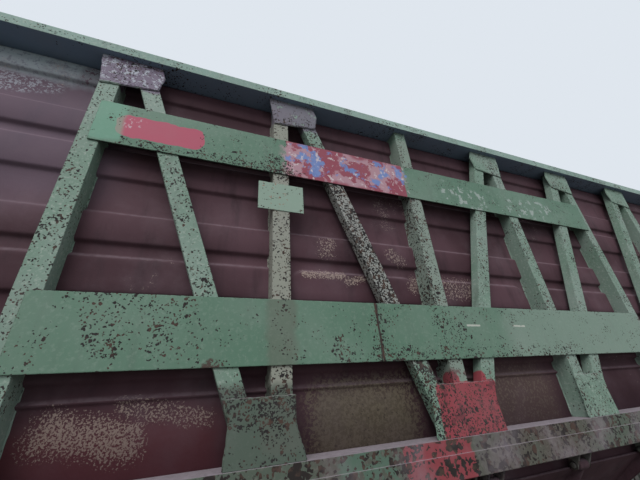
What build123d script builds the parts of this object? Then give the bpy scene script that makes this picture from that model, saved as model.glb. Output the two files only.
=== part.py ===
from build123d import *

import os
from math import atan2, cos, degrees, hypot, radians, sin

# Open hopper wagon for ore pellets: four axles, two side hatches, trussed sides with pressed panels.
# Millimetres. X runs along the wagon, Y across it, Z up from the floor under the wheels.

os.makedirs("parts", exist_ok=True)

# Heights of the body
sill_z = 1126.0
sill_h = 157.0
chord_z = 3295.0
chord_h = 67.0

# Widths of the body, measured outwards from the middle of the wagon
face_out = 1530.0
truss_depth = 120.0
wall_t = 12.0
plate_t = 8.0
lip_over = 35.0
sill_over = 10.0
lap_over = 8.0

# Lengths of the body, from its middle to one end
post_pitch = 995.0
bays_each_way = 4
end_bay = 485.0
end_run = 1.125  # how far an end slope runs out for each unit of rise
chord_over = 165.0
platform_len = 760.0
headstock_depth = 100.0
coupler_over = 610.0
bogie_inset = 1495.0

# Wheels, standing on their flanges
tread_r = 475.0
flange_h = 28.0
wheel_back_y = 720.0
wheel_width = 130.0
journal_y = 1018.0
journal_r = 65.0
bogie_wheelbase = 1850.0

# Hopper sheets and hatches
slope_t = 10.0
saddle_top_z = 1910.0
saddle_t = 10.0
saddle_lap = 16.0
hinge_over = 52.0
hinge_drop = 64.0
hinge_r = 14.0
hatch_angle = 40.1
hatch_t = 10.0
hatch_len = 513.6
hatch_face = -14.2  # the hatch's upper face, inwards from the hinge's axis

# Underframe
coupler_z = 1088.0
centre_web_y = 160.0
centre_flange_y = 250.0
centre_t = 14.0
centre_low_z = 880.0
centre_high_z = 1210.0

# Clearances
running = 0.4
clear = 6.0
seat_gap = 0.5

post_face = face_out - plate_t
wall_out = face_out - truss_depth
wall_in = wall_out - wall_t
lip_out = face_out + lip_over
sill_face = face_out + sill_over
lap_out = sill_face + lap_over
sill_low_z = sill_z - sill_h
chord_low_z = chord_z - chord_h
end_x = bays_each_way * post_pitch + end_bay
slope_x = end_x - (chord_low_z - sill_z) * end_run
chord_end_x = end_x + chord_over
headstock_x = chord_end_x + platform_len
sill_end_x = headstock_x - headstock_depth
bogie_x = headstock_x - bogie_inset
axle_z = tread_r + flange_h
hinge_out = wall_out + hinge_over
hinge_z = sill_low_z - hinge_drop
sides = {"left": 1, "right": -1}
ends = {"front": 1, "rear": -1}


def in_xz(outline, y0, y1):
    """Plate or prism from an outline in X and Z, between two distances across."""
    low, high = min(y0, y1), max(y0, y1)
    sketch = Sketch() + Polygon(*outline, align=None)
    return extrude(Plane.XZ.offset(-low) * sketch, amount=high - low, dir=(0, 1, 0))


def in_yz(outline, x0, x1):
    """Plate or prism from an outline in Y and Z, between two distances along."""
    low, high = min(x0, x1), max(x0, x1)
    sketch = Sketch() + Polygon(*outline, align=None)
    return extrude(Plane.YZ.offset(low) * sketch, amount=high - low, dir=(1, 0, 0))


def block(x0, x1, y0, y1, z0, z1):
    size = (abs(x1 - x0), abs(y1 - y0), abs(z1 - z0))
    return Pos((x0 + x1) / 2, (y0 + y1) / 2, (z0 + z1) / 2) * Box(*size)


def rod_y(x, z, radius, y0, y1):
    return Pos(x, (y0 + y1) / 2, z) * (Rot(90, 0, 0) * Cylinder(radius, abs(y1 - y0)))


def rod_x(y, z, radius, x0, x1):
    return Pos((x0 + x1) / 2, y, z) * (Rot(0, 90, 0) * Cylinder(radius, abs(x1 - x0)))


def mirrored_side(shape, side):
    """Pieces are drawn on the left side (+Y); the right side mirrors them."""
    return shape if sides[side] > 0 else mirror(shape, about=Plane.XZ)


def mirrored_end(shape, end):
    """Pieces are drawn at the front end (+X); the rear end mirrors them."""
    return shape if ends[end] > 0 else mirror(shape, about=Plane.YZ)


def turned_end(shape, end):
    """Handed pieces are turned round to the rear end, and not mirrored."""
    return shape if ends[end] > 0 else Rot(0, 0, 180) * shape


def slope_limit(z):
    """Half length of the hopper at a height."""
    return slope_x + (z - sill_z) * end_run


slope_skin = slope_t * hypot(1, end_run)


# Hatches hang from the side sills; their own lines are used by the sheets above them
along_y = cos(radians(hatch_angle))
along_z = sin(radians(hatch_angle))
hatch_top_gap = 38.0


def from_hinge(down, out):
    """Point on the hatch: distance down its slope from the hinge, and outwards from its plane."""
    y = hinge_out - along_y * down + along_z * out
    z = hinge_z - along_z * down - along_y * out
    return (y, z)


def hatch_line(y):
    """Height of the hatch's upper face at a distance from the middle."""
    down = (hinge_out - y + along_z * hatch_face) / along_y
    return hinge_z - along_z * down - along_y * hatch_face


hatch_lip_y, hatch_lip_z = from_hinge(hatch_len, hatch_face)
hatch_top_y = hinge_out - hatch_top_gap
saddle_y = hatch_lip_y + saddle_lap
saddle_z = hatch_line(saddle_y) + 2 * clear


def above_hatches(sheet):
    """Cuts a sheet back from the closed hatches."""
    y0 = hatch_lip_y - 160
    y1 = hinge_out + hatch_top_gap
    for side in (-1, 1):
        under = [
            (side * y0, hatch_line(y0) + clear),
            (side * y1, hatch_line(y1) + clear),
            (side * y1, 0),
            (side * y0, 0),
        ]
        sheet -= in_yz(under, -end_x, end_x)
    return sheet


# Side sill: one rolled channel with a lapped lower plate, on which dust settles
lap_drop = 61.0
lap_t = 14.0
sill_web_t = 12.0
sill_flange = 108.0
bracket_x = (-1450.0, -780.0, -92.0, 92.0, 780.0, 1450.0)
bracket_row = [x for x in bracket_x if abs(x) < slope_limit(hatch_lip_z)]
bracket_gap = 88.0
bracket_t = 12.0
pin_over = 6.0


def side_sill():
    lap_z = sill_z - lap_drop
    profile = [
        (wall_in, sill_z),
        (sill_face, sill_z),
        (sill_face, lap_z),
        (lap_out, lap_z),
        (lap_out, sill_low_z),
        (lap_out - sill_flange, sill_low_z),
        (lap_out - sill_flange, sill_low_z + sill_web_t),
        (lap_out - lap_t, sill_low_z + sill_web_t),
        (sill_face - sill_web_t, lap_z - 10),
        (sill_face - sill_web_t, sill_z - lap_t),
        (wall_in, sill_z - lap_t),
    ]
    sill = in_yz(profile, -sill_end_x, sill_end_x)
    ear = [
        (hinge_out - 18, sill_low_z),
        (hinge_out - 22, hinge_z),
        (hinge_out - 13, hinge_z - 18),
        (hinge_out + 13, hinge_z - 18),
        (hinge_out + 22, hinge_z),
        (hinge_out + 58, sill_low_z),
    ]
    pin_half = bracket_gap / 2 + bracket_t + pin_over
    for x in bracket_row:
        for cheek in (-1, 1):
            inner = x + cheek * bracket_gap / 2
            sill += in_yz(ear, inner, inner + cheek * bracket_t)
        sill += rod_x(hinge_out, hinge_z, hinge_r, x - pin_half, x + pin_half)
    return sill


# Pressed side wall: closed ridges between the posts, open at the back of each pressing
ridge_out = 22.0
ridge_end_gap = 125.0
ridge_corner = 70.0
ridge_flank = 40.0
groove_w = 58.0
groove_floor = 2.0
shortest_ridge = 200.0
ridge_rows = [
    # low z, high z, groove z (0 = none)
    (sill_z + 248, sill_z + 496, sill_z + 303),
    (sill_z + 683, sill_z + 1108, sill_z + 907),
    (chord_z - 867, chord_z - 428, chord_z - 637),
    (chord_z - 227, chord_low_z - 4, 0),
]
post_row = [i * post_pitch for i in range(-bays_each_way, bays_each_way + 1)]


def bays(low_z):
    """Clear stretches between posts, up to the end slope, at a ridge's lower edge."""
    edges = [x for x in post_row if abs(x) < slope_limit(low_z)]
    spans = [(a + ridge_end_gap, b - ridge_end_gap) for a, b in zip(edges, edges[1:])]
    tip = slope_limit(low_z) - 60
    last = edges[-1] + ridge_end_gap
    if tip - last > shortest_ridge:
        spans += [(last, tip), (-tip, -last)]
    return spans


def pressing(x0, x1, z0, z1):
    """One ridge with rounded ends and sloping flanks, standing out from the wall."""
    face = RectangleRounded(x1 - x0, z1 - z0, min(ridge_corner, (z1 - z0) / 2 - 1))
    plane = Plane.XZ.offset(-wall_out) * Pos((x0 + x1) / 2, (z0 + z1) / 2)
    return extrude(plane * face, amount=-ridge_out, taper=30)


def side_wall():
    top_z = chord_z - plate_t
    crown = wall_out + ridge_out
    outline = [
        (slope_x, sill_z),
        (slope_limit(top_z), top_z),
        (-slope_limit(top_z), top_z),
        (-slope_x, sill_z),
    ]
    wall = in_xz(outline, wall_in, wall_out)
    for low, high, groove in ridge_rows:
        for x0, x1 in bays(low):
            wall += pressing(x0, x1, low, high)
            back = (x0 + ridge_flank, x1 - ridge_flank, wall_in - 1, crown - wall_t)
            wall -= block(*back, low + ridge_flank, high - ridge_flank)
    for low, high, groove in ridge_rows:
        if groove:
            vee = [
                (crown + 1, groove - groove_w / 2),
                (crown + 1, groove + groove_w / 2),
                (crown - wall_t + groove_floor, groove),
            ]
            wall -= in_yz(vee, -end_x, end_x)
    return wall


# Truss: posts, braces and gussets
post_w = 97.0
post_wall = 8.0
brace_w = 97.0
brace_wall = 6.0
brace_depth = 60.0
brace_foot = 114.0
brace_head = 130.0
brace_rows = [
    # post at its foot, post at its head, counted from the middle
    (0, 1),
    (1, 2),
    (2, 3),
]
foot_w = 228.0
foot_waist = 215.0
foot_waist_rise = 135.0
foot_rise = 237.0
head_outline = [
    # along from the post towards the brace, down from the chord
    (-77.0, 0.0),
    (-42.0, 228.0),
    (242.0, 196.0),
    (262.0, 78.0),
    (236.0, 0.0),
]


def channel(width, depth, wall, length):
    """Channel bar standing on XY, its closed face outwards (+Y)."""
    bar = Pos(0, -depth / 2, length / 2) * Box(width, depth, length)
    return bar - Pos(0, -depth / 2 - wall, length / 2) * Box(width - 2 * wall, depth, length + 2)


def brace(foot_x, head_x):
    """A brace between two posts, trimmed where it meets the sill and the chord."""
    lean = 1 if head_x > foot_x else -1
    foot = foot_x + lean * brace_foot
    head = head_x - lean * brace_head
    rise = chord_low_z - sill_z
    angle = degrees(atan2(head - foot, rise))
    length = hypot(head - foot, rise) + 2 * brace_w
    bar = Pos(0, 0, -brace_w) * channel(brace_w, brace_depth, brace_wall, length)
    bar = Pos(foot, post_face, sill_z) * (Rot(0, angle, 0) * bar)
    return bar & block(-end_x, end_x, wall_out, post_face + 1, sill_z, chord_low_z)


def foot_gusset(x, left, right):
    """Plate over a post's foot, wider where a brace lands."""
    half = post_w / 2 + 8
    outline = [
        (x - (foot_w if left else 70), sill_z),
        (x - (foot_waist if left else half), sill_z + foot_waist_rise),
        (x - (foot_w if left else half), sill_z + foot_rise),
        (x + (foot_w if right else half), sill_z + foot_rise),
        (x + (foot_waist if right else half), sill_z + foot_waist_rise),
        (x + (foot_w if right else 100), sill_z),
    ]
    return in_xz(outline, post_face, face_out)


def head_gusset(x, lean):
    """Plate over a post's head and the head of the brace beside it."""
    outline = [(x + lean * along, chord_low_z - down) for along, down in head_outline]
    return in_xz(outline, post_face, face_out)


def side_truss():
    height = chord_low_z - sill_z
    truss = Part()
    for x in post_row:
        truss += Pos(x, post_face, sill_z) * channel(post_w, post_face - wall_out, post_wall, height)
    for foot, head in brace_rows:
        for end in (-1, 1):
            truss += brace(end * foot * post_pitch, end * head * post_pitch)
    for i, x in enumerate(post_row[1:-1], start=1 - bays_each_way):
        has_brace = abs(i) < len(brace_rows)
        truss += foot_gusset(x, has_brace and i <= 0, has_brace and i >= 0)
        if 0 < abs(i) <= len(brace_rows):
            truss += head_gusset(x, -1 if i > 0 else 1)
    return truss


# Bands across the truss, and the small blank plate
band_rows = [
    # low z, high z
    (sill_z + 361, sill_z + 661),
    (chord_z - 722, chord_z - 440),
]
band_bays = 2
plate_half = 135.0
plate_low_z = chord_z - 987
plate_high_z = chord_z - 799
plate_sheet = 4.0


def side_bands():
    half = band_bays * post_pitch
    bands = Part()
    for low, high in band_rows:
        bands += block(-half, half, post_face, face_out, low, high)
    plate = (post_face, post_face + plate_sheet, plate_low_z, plate_high_z)
    bands += block(-post_pitch - plate_half, -post_pitch + plate_half, *plate)
    return bands


# Top frame: a box section round the mouth, with an overhanging lip
def top_frame():
    outer = block(-chord_end_x, chord_end_x, -lip_out, lip_out, chord_low_z, chord_z)
    long_in = chord_end_x - plate_t
    wide_in = lip_out - plate_t
    hollow = block(-long_in, long_in, -wide_in, wide_in, chord_low_z + plate_t, chord_z - plate_t)
    mouth_x = slope_limit(chord_z) - slope_t
    mouth_y = wall_in - clear
    mouth = block(-mouth_x, mouth_x, -mouth_y, mouth_y, chord_low_z - 1, chord_z + 1)
    slot_x = slope_limit(chord_z - plate_t) + slope_skin
    slot = block(-slot_x, slot_x, -wall_out, wall_out, chord_low_z - 1, chord_z - plate_t)
    return outer - hollow - mouth - slot


# Hopper floor: end slopes and the saddle over the centre sill
slope_rib_y = (-1000.0, 0.0, 1000.0)
slope_rib_t = 12.0
slope_rib_rise = 224.0
gable_inset = 800.0
gable_t = 10.0
gable_half = 620.0


def saddle_line(y):
    """Height of the saddle's upper face at a distance from the middle."""
    return saddle_top_z - (saddle_top_z - saddle_z) * y / saddle_y


def end_slope():
    low_z = hatch_lip_z - 25
    top_z = chord_z - plate_t
    outline = [
        (slope_limit(low_z), low_z),
        (slope_limit(top_z), top_z),
        (slope_limit(top_z) + slope_skin, top_z),
        (slope_limit(low_z) + slope_skin, low_z),
    ]
    sheet = in_xz(outline, -wall_in, wall_in)
    under_saddle = [
        (-2 * saddle_y, saddle_line(2 * saddle_y)),
        (0, saddle_top_z),
        (2 * saddle_y, saddle_line(2 * saddle_y)),
    ]
    sheet -= in_yz(under_saddle, 0, end_x)
    sheet = above_hatches(sheet)
    rib_low_z = sill_z + slope_rib_rise
    rib_high_z = chord_low_z - 2 * clear
    inner = slope_skin - 2
    rib = [
        (slope_limit(rib_low_z) + inner, rib_low_z),
        (slope_limit(rib_high_z) + inner, rib_high_z),
        (slope_limit(rib_high_z) + inner + 60, rib_high_z),
        (slope_limit(rib_high_z) + inner + 60, rib_high_z - 60),
        (slope_limit(rib_low_z) + inner + 120, rib_low_z),
    ]
    for y in slope_rib_y:
        sheet += in_xz(rib, y - slope_rib_t / 2, y + slope_rib_t / 2)
    return sheet


def saddle():
    drop = saddle_t / cos(atan2(saddle_top_z - saddle_z, saddle_y))
    roof = [
        (-saddle_y, saddle_z),
        (0, saddle_top_z),
        (saddle_y, saddle_z),
        (saddle_y, saddle_z - drop),
        (0, saddle_top_z - drop),
        (-saddle_y, saddle_z - drop),
    ]
    sheet = in_yz(roof, -end_x, end_x)
    for end in (-1, 1):
        outside = [
            (end * slope_limit(0), 0),
            (end * slope_limit(chord_z), chord_z),
            (end * 2 * end_x, chord_z),
            (end * 2 * end_x, 0),
        ]
        sheet -= in_xz(outside, -face_out, face_out)
    web = centre_web_y + centre_t
    seat_z = centre_low_z + centre_t
    gable = [
        (-gable_half, saddle_line(gable_half) - drop),
        (0, saddle_top_z - drop),
        (gable_half, saddle_line(gable_half) - drop),
        (centre_flange_y, seat_z),
        (web, seat_z),
        (web, centre_high_z),
        (-web, centre_high_z),
        (-web, seat_z),
        (-centre_flange_y, seat_z),
    ]
    for x in (0, slope_x - gable_inset, gable_inset - slope_x):
        sheet += in_yz(gable, x - gable_t / 2, x + gable_t / 2)
    return above_hatches(sheet)


def throat_sheet():
    """Sheet that closes the gap between a side sill and its hatch."""
    low_z = hatch_line(wall_in) + clear
    outline = [
        (slope_limit(low_z), low_z),
        (slope_x, sill_z - lap_t),
        (-slope_x, sill_z - lap_t),
        (-slope_limit(low_z), low_z),
    ]
    return above_hatches(in_xz(outline, wall_in, wall_in + plate_t))


# Underframe
bolster_w = 260.0
bolster_plate = 12.0
bolster_root_y = 430.0
bolster_step_y = 420.0
bearer_y = 762.0
bearer_half = 70.0
centre_plate_r = 150.0
centre_plate_z = axle_z + 331
bearing_rub_z = axle_z + 329


def centre_sill():
    web = centre_web_y
    flange = centre_flange_y
    profile = [
        (-flange, centre_low_z),
        (-web, centre_low_z),
        (-web, centre_high_z - centre_t),
        (web, centre_high_z - centre_t),
        (web, centre_low_z),
        (flange, centre_low_z),
        (flange, centre_low_z + centre_t),
        (web + centre_t, centre_low_z + centre_t),
        (web + centre_t, centre_high_z),
        (-web - centre_t, centre_high_z),
        (-web - centre_t, centre_low_z + centre_t),
        (-flange, centre_low_z + centre_t),
    ]
    return in_yz(profile, -sill_end_x, sill_end_x)


def body_bolster():
    x0 = bogie_x - bolster_w / 2
    x1 = bogie_x + bolster_w / 2
    web = centre_web_y + centre_t
    root_z = centre_low_z + centre_t
    tip_y = lap_out - sill_flange
    tip_low_z = sill_low_z - 20
    tip_high_z = sill_z - lap_t
    arm = [
        (web, root_z),
        (centre_flange_y, root_z),
        (centre_flange_y, centre_low_z),
        (bolster_root_y, centre_low_z),
        (wall_in, tip_low_z),
        (tip_y, tip_low_z),
        (tip_y, tip_high_z),
        (bolster_step_y, tip_high_z),
        (web, centre_high_z - 30),
    ]
    hollow = [
        (web, root_z + 16),
        (bolster_root_y, centre_low_z + 30),
        (wall_in, tip_low_z + 16),
        (lap_out, tip_low_z + 16),
        (lap_out, tip_high_z - 14),
        (bolster_step_y, tip_high_z - 14),
        (web, centre_high_z - 46),
    ]
    one_arm = in_yz(arm, x0, x1) - in_yz(hollow, x0 + bolster_plate, x1 - bolster_plate)
    bolster = one_arm + mirror(one_arm, about=Plane.XZ)
    under_z = centre_low_z - centre_t
    bolster += block(x0, x1, -bolster_root_y, bolster_root_y, under_z, centre_low_z)
    plate = Cylinder(centre_plate_r, under_z - centre_plate_z)
    bolster += Pos(bogie_x, 0, (centre_plate_z + under_z) / 2) * plate
    for y in (-bearer_y, bearer_y):
        bearer = (y - bearer_half, y + bearer_half, bearing_rub_z + clear, sill_low_z - 39)
        bolster += block(bogie_x - 90, bogie_x + 90, *bearer)
    return bolster


lever_x = headstock_x + 48
lever_z = coupler_z + 22


def end_sill():
    """Headstock with the coupler's striker, and the rod that releases the coupler."""
    low_z = centre_low_z + 60
    profile = [
        (sill_end_x, low_z),
        (headstock_x, low_z),
        (headstock_x, centre_high_z),
        (sill_end_x, centre_high_z),
        (sill_end_x, centre_high_z - 14),
        (headstock_x - 14, centre_high_z - 14),
        (headstock_x - 14, low_z + 14),
        (sill_end_x, low_z + 14),
    ]
    half = sill_face - 60
    beam = in_xz(profile, -half, half)
    striker = block(headstock_x, headstock_x + 36, -210, 210, coupler_z - 138, coupler_z + 142)
    window = block(sill_end_x - 1, headstock_x + 60, -150, 150, coupler_z - 103, coupler_z + 108)
    sill = beam + striker - window
    for y in (-300.0, -1180.0):
        sill += block(headstock_x, lever_x + 22, y - 7, y + 7, lever_z - 24, lever_z + 24)
    sill += rod_y(lever_x, lever_z, 11, -236, -1290)
    sill += block(lever_x - 9, lever_x + 9, -1302, -1284, lever_z - 250, lever_z + 14)
    return sill


# Couplers: a claw head with its lock, the shank, and the yoke in the centre sill
coupler_claw = [
    # back from the tip, across
    (490.0, 70.0),
    (340.0, 172.0),
    (190.0, 224.0),
    (96.0, 214.0),
    (90.0, 150.0),
    (165.0, 98.0),
    (258.0, 82.0),
    (266.0, -42.0),
    (190.0, -76.0),
    (96.0, -34.0),
    (36.0, -46.0),
    (0.0, -118.0),
    (34.0, -202.0),
    (160.0, -226.0),
    (340.0, -182.0),
    (490.0, -70.0),
]
coupler_h = 300.0
shank_half = 65.0
yoke_half = 100.0
yoke_bar = 28.0
follower_t = 20.0


def coupler():
    tip = headstock_x + coupler_over
    neck_x = tip - 480
    yoke_x = headstock_x - 830
    front_x = headstock_x - 350
    nose_x = headstock_x - 160
    plan = Sketch() + Polygon(*[(tip - back, y) for back, y in coupler_claw], align=None)
    plan = fillet(plan.vertices(), 14)
    head = extrude(Plane.XY.offset(coupler_z - coupler_h / 2) * plan, amount=coupler_h, dir=(0, 0, 1))
    lock = block(tip - 290, tip - 205, -34, 70, coupler_z - 95, coupler_z + 95)
    span = (-shank_half, shank_half, coupler_z - shank_half, coupler_z + shank_half)
    shank = block(front_x, neck_x + 60, *span)
    inner = yoke_half - yoke_bar
    yoke = block(yoke_x, nose_x, -110, 110, coupler_z - yoke_half, coupler_z + yoke_half)
    yoke -= block(yoke_x + 60, front_x, -111, 111, coupler_z - inner, coupler_z + inner)
    for x in (yoke_x + 60, front_x):
        follower = (x - follower_t, x, -centre_web_y, centre_web_y)
        yoke += block(*follower, coupler_z - 90, coupler_z + 90)
    gear = rod_x(0, coupler_z, inner - clear, yoke_x + 50, front_x - 10)
    return head + lock + shank + yoke + gear


# Ends of the body: corner posts, cross beam, struts down to the platform
deck_z = centre_high_z + 6
corner_post_x = end_x + 75
corner_post_half = 60.0
corner_post_w = 112.0
corner_post_in = post_face - corner_post_w
strut_t = 8.0
strut_w = 100.0
strut_drop = 50.0
strut_inset = 80.0
beam_low_z = sill_z + 924
beam_h = 110.0
beam_high_z = beam_low_z + beam_h
beam_top_t = 10.0
beam_x = corner_post_x - 4
deck_half_y = wall_out + strut_t
stud_y = 600.0
stud_half = 45.0
column_y = 700.0
column_half = 50.0


def open_post(x0, x1, y0, y1, z0, z1, wall, ahead):
    """Channel post whose open side looks inwards along X; ahead is 1 or -1."""
    post = block(x0, x1, y0, y1, z0, z1)
    deep = x1 - wall if ahead > 0 else x0 + wall
    open_x = x0 - 1 if ahead > 0 else x1 + 1
    low_y, high_y = min(y0, y1), max(y0, y1)
    return post - block(open_x, deep, low_y + wall, high_y - wall, z0 - 1, z1 + 1)


def end_posts():
    """Corner posts, studs under the cross beam, and columns under the slope."""
    x0 = corner_post_x - corner_post_half
    x1 = corner_post_x + corner_post_half
    posts = Part()
    for side in (-1, 1):
        across = (side * corner_post_in, side * post_face)
        posts += open_post(x0, x1, *across, sill_z, chord_low_z, plate_t, 1)
    for y in (-stud_y, stud_y):
        span = (y - stud_half, y + stud_half, deck_z, beam_high_z - beam_top_t)
        posts += open_post(beam_x, x1 - plate_t, *span, plate_t, 1)
    above_slope = [
        (slope_limit(sill_z) + slope_skin, sill_z - 100),
        (slope_limit(sill_z) + slope_skin, sill_z),
        (slope_limit(chord_z) + slope_skin, chord_z),
        (0, chord_z),
        (0, sill_z - 100),
    ]
    for y in (-column_y, column_y):
        span = (bogie_x - column_half, bogie_x + column_half, y - column_half, y + column_half)
        column = open_post(*span, sill_z - lap_t, chord_low_z, plate_t, 1)
        posts += column - in_xz(above_slope, -face_out, face_out)
    return posts


def end_beam():
    """Cross beam between the corner posts, and the struts from them down to the platform."""
    x1 = corner_post_x + corner_post_half
    across = (-corner_post_in, corner_post_in)
    beam = block(beam_x, x1, *across, beam_high_z - beam_top_t, beam_high_z)
    beam += block(x1 - plate_t, x1, *across, beam_low_z, beam_high_z - beam_top_t)
    strut_foot_x = headstock_x - strut_inset
    strut = [
        (x1, beam_low_z - strut_drop - strut_w),
        (x1, beam_low_z - strut_drop),
        (strut_foot_x, deck_z),
        (strut_foot_x - strut_w, deck_z),
    ]
    strut_out = deck_half_y - 2
    for side in (-1, 1):
        beam += in_xz(strut, side * (strut_out - strut_t), side * strut_out)
    return beam


# Platform at each end, with the handrails that lead from it to the corner posts
rail_r = 16.0
rail_y = wall_out + 30
rail_rise = 1000.0
rail_bend = 90.0


def platform():
    x0 = headstock_x - 50
    x1 = corner_post_x + corner_post_half
    deck = block(beam_x, headstock_x, -deck_half_y, deck_half_y, centre_high_z, deck_z)
    for side in (-1, 1):
        deck -= block(beam_x - 1, x1, side * corner_post_in, side * post_face, sill_z, chord_low_z)
    top_z = centre_high_z + rail_rise
    for y in (-rail_y, rail_y):
        line = FilletPolyline((x0, y, centre_high_z), (x0, y, top_z), (x1, y, top_z), radius=rail_bend)
        deck += sweep(Plane(origin=(x0, y, centre_high_z), z_dir=(0, 0, 1)) * Circle(rail_r), line)
        deck += rod_x(y, centre_high_z + rail_rise / 2, rail_r - 2, x1, x0)
    return deck


# Ladder below one corner, drawn at the front left
ladder_low_z = 420.0
ladder_bar = 40.0
ladder_out = (1150.0, 1450.0)
ladder_pitch = 250.0


def ladder():
    x0 = headstock_x
    near, far = ladder_out
    rails = Part()
    for y in ladder_out:
        rails += block(x0, x0 + ladder_bar, y - 5, y + 5, ladder_low_z, centre_high_z - 10)
    for step in range(3):
        z = ladder_low_z + 30 + step * ladder_pitch
        rails += rod_y(x0 + ladder_bar / 2, z, 11, near, far)
    rails += block(x0, x0 + 10, near, far, coupler_z + 12, coupler_z + 92)
    return rails


# Brake equipment on the centre sill
brake_wheel_y = -900.0
brake_wheel_z = deck_z + 204
brake_wheel_x = headstock_x + 60
brake_wheel_r = 184.0
brake_rim_r = 12.0
brake_shaft_r = 14.0
equipment_z = centre_high_z + 200


def hand_wheel():
    """Wheel of the hand brake: rim, three spokes and a bored hub."""
    x, y, z = brake_wheel_x, brake_wheel_y, brake_wheel_z
    rim = brake_wheel_r - brake_rim_r
    ring = Pos(x, y, z) * (Rot(0, 90, 0) * Torus(rim, brake_rim_r))
    for turn in (0, 120, 240):
        spoke = Pos(0, 0, rim / 2) * Box(10, 26, rim)
        ring += Pos(x, y, z) * (Rot(turn, 0, 0) * spoke)
    ring += rod_x(y, z, 32, x - 14, x + 14)
    return ring - rod_x(y, z, brake_shaft_r, x - 15, x + 15)


def hand_brake():
    """Shaft of the hand brake, and the upright that carries it."""
    y, z = brake_wheel_y, brake_wheel_z
    back = headstock_x - 80
    shaft = rod_x(y, z, brake_shaft_r, back + 20, brake_wheel_x + 22)
    return shaft + block(back, back + 20, y - 50, y + 50, deck_z, z + 50)


def cradle(x, z, radius):
    """Bracket that carries a round vessel on the centre sill."""
    outline = [
        (-radius, z),
        (-radius, z - 30),
        (-120, centre_high_z + 20),
        (-150, centre_high_z),
        (150, centre_high_z),
        (120, centre_high_z + 20),
        (radius, z - 30),
        (radius, z),
    ]
    return in_yz(outline, x - 8, x + 8) - rod_x(0, z, radius - 1, x - 9, x + 9)


def brake_cylinder():
    """Cylinder on the centre sill under the rear slope."""
    back = -bogie_x - 405
    face = -bogie_x - 65
    body = rod_x(0, equipment_z, 178, back, face)
    body += rod_x(0, equipment_z, 200, face - 25, face)
    body += rod_x(0, equipment_z, 42, face, face + 160)
    for x in (back + 60, back + 260):
        body += cradle(x, equipment_z, 178)
    return body


def air_reservoir():
    """Tank with domed ends on the centre sill under the front slope."""
    back = bogie_x - 335
    tank = rod_x(0, equipment_z, 150, back, back + 840)
    tank = fillet(tank.edges().filter_by(GeomType.CIRCLE), 60)
    for x in (back + 140, back + 700):
        tank += cradle(x, equipment_z, 150)
    return tank


# Hatch: plate, ribs with hinge knuckles, and the long lug for its cylinder
knuckle_w = 76.0
knuckle_r = 26.0
hatch_over = 30.0
hatch_rib_t = 20.0
lug_reach = 600.0
lug_drop = 70.0
lug_gap = 68.0
lug_t = 14.0
lug_pin_r = 14.0
lug_y, lug_z = from_hinge(lug_reach, lug_drop)


def hatch():
    top_y, top_z = hatch_top_y, hatch_line(hatch_top_y)
    top_down = (hinge_out - top_y) * along_y + (hinge_z - top_z) * along_z
    face = hatch_face
    sheet = [
        from_hinge(top_down, face),
        from_hinge(hatch_len, face),
        from_hinge(hatch_len, face + hatch_t),
        from_hinge(top_down, face + hatch_t),
    ]
    half = slope_limit(top_z) + hatch_over
    panel = in_yz(sheet, -half, half)
    for end in (-1, 1):
        beyond = [
            (end * (slope_limit(0) + hatch_over), 0),
            (end * (slope_limit(sill_z) + hatch_over), sill_z),
            (end * 2 * end_x, sill_z),
            (end * 2 * end_x, 0),
        ]
        panel -= in_xz(beyond, 0, face_out)
    rib = [
        from_hinge(hatch_len, face + 2),
        from_hinge(hatch_len - 20, face + 40),
        from_hinge(top_down + 90, face + 62),
        from_hinge(10, 24),
        from_hinge(-14, 20),
        from_hinge(-14, -20),
        from_hinge(top_down, face),
    ]
    for x in bracket_row:
        panel += in_yz(rib, x - hatch_rib_t / 2, x + hatch_rib_t / 2)
        panel += rod_x(hinge_out, hinge_z, knuckle_r, x - knuckle_w / 2, x + knuckle_w / 2)
    edge = [
        from_hinge(hatch_len, face + 2),
        from_hinge(hatch_len, face + 34),
        from_hinge(hatch_len - 8, face + 34),
        from_hinge(hatch_len - 8, face + 2),
    ]
    edge_half = slope_limit(hatch_lip_z) + 20
    panel += in_yz(edge, -edge_half, edge_half)
    ear = [
        from_hinge(lug_reach - 200, face + 2),
        from_hinge(hatch_len, face + 2),
        from_hinge(hatch_len + 8, face + 12),
        from_hinge(lug_reach + 18, lug_drop - 18),
        from_hinge(lug_reach + 26, lug_drop),
        from_hinge(lug_reach + 18, lug_drop + 18),
        from_hinge(lug_reach - 10, lug_drop + 30),
        from_hinge(lug_reach - 200, lug_drop + 10),
    ]
    pin_half = lug_gap / 2 + lug_t + pin_over
    for cheek in (-1, 1):
        panel += in_yz(ear, cheek * lug_gap / 2, cheek * (lug_gap / 2 + lug_t))
    panel += rod_x(lug_y, lug_z, lug_pin_r, -pin_half, pin_half)
    for x in bracket_row:
        bore = (hinge_r + running, x - knuckle_w / 2 - 1, x + knuckle_w / 2 + 1)
        panel -= rod_x(hinge_out, hinge_z, *bore)
    return panel


# Hatch cylinder: trunnion bracket, barrel, and rod with its wide eye
pivot_y = 285.0
pivot_z = centre_low_z - 90
pivot_r = 20.0
barrel_r = 75.0
barrel_wall = 10.0
barrel_from = 70.0
rod_out = 219.5
rod_r = 22.0
eye_r = 36.0
eye_rim = 16.0
eye_t = 50.0
tail_half = 36.0
piston_at = 150.0
piston_t = 40.0
cylinder_reach = hypot(lug_y - pivot_y, lug_z - pivot_z)
cylinder_lean = degrees(atan2(lug_z - pivot_z, lug_y - pivot_y))
barrel_to = cylinder_reach - rod_out


def along_cylinder(shape):
    """Lays a shape drawn along +X from the pivot onto the left cylinder's line."""
    return Pos(0, pivot_y, pivot_z) * (Rot(cylinder_lean, 0, 0) * (Rot(0, 0, 90) * shape))


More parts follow.
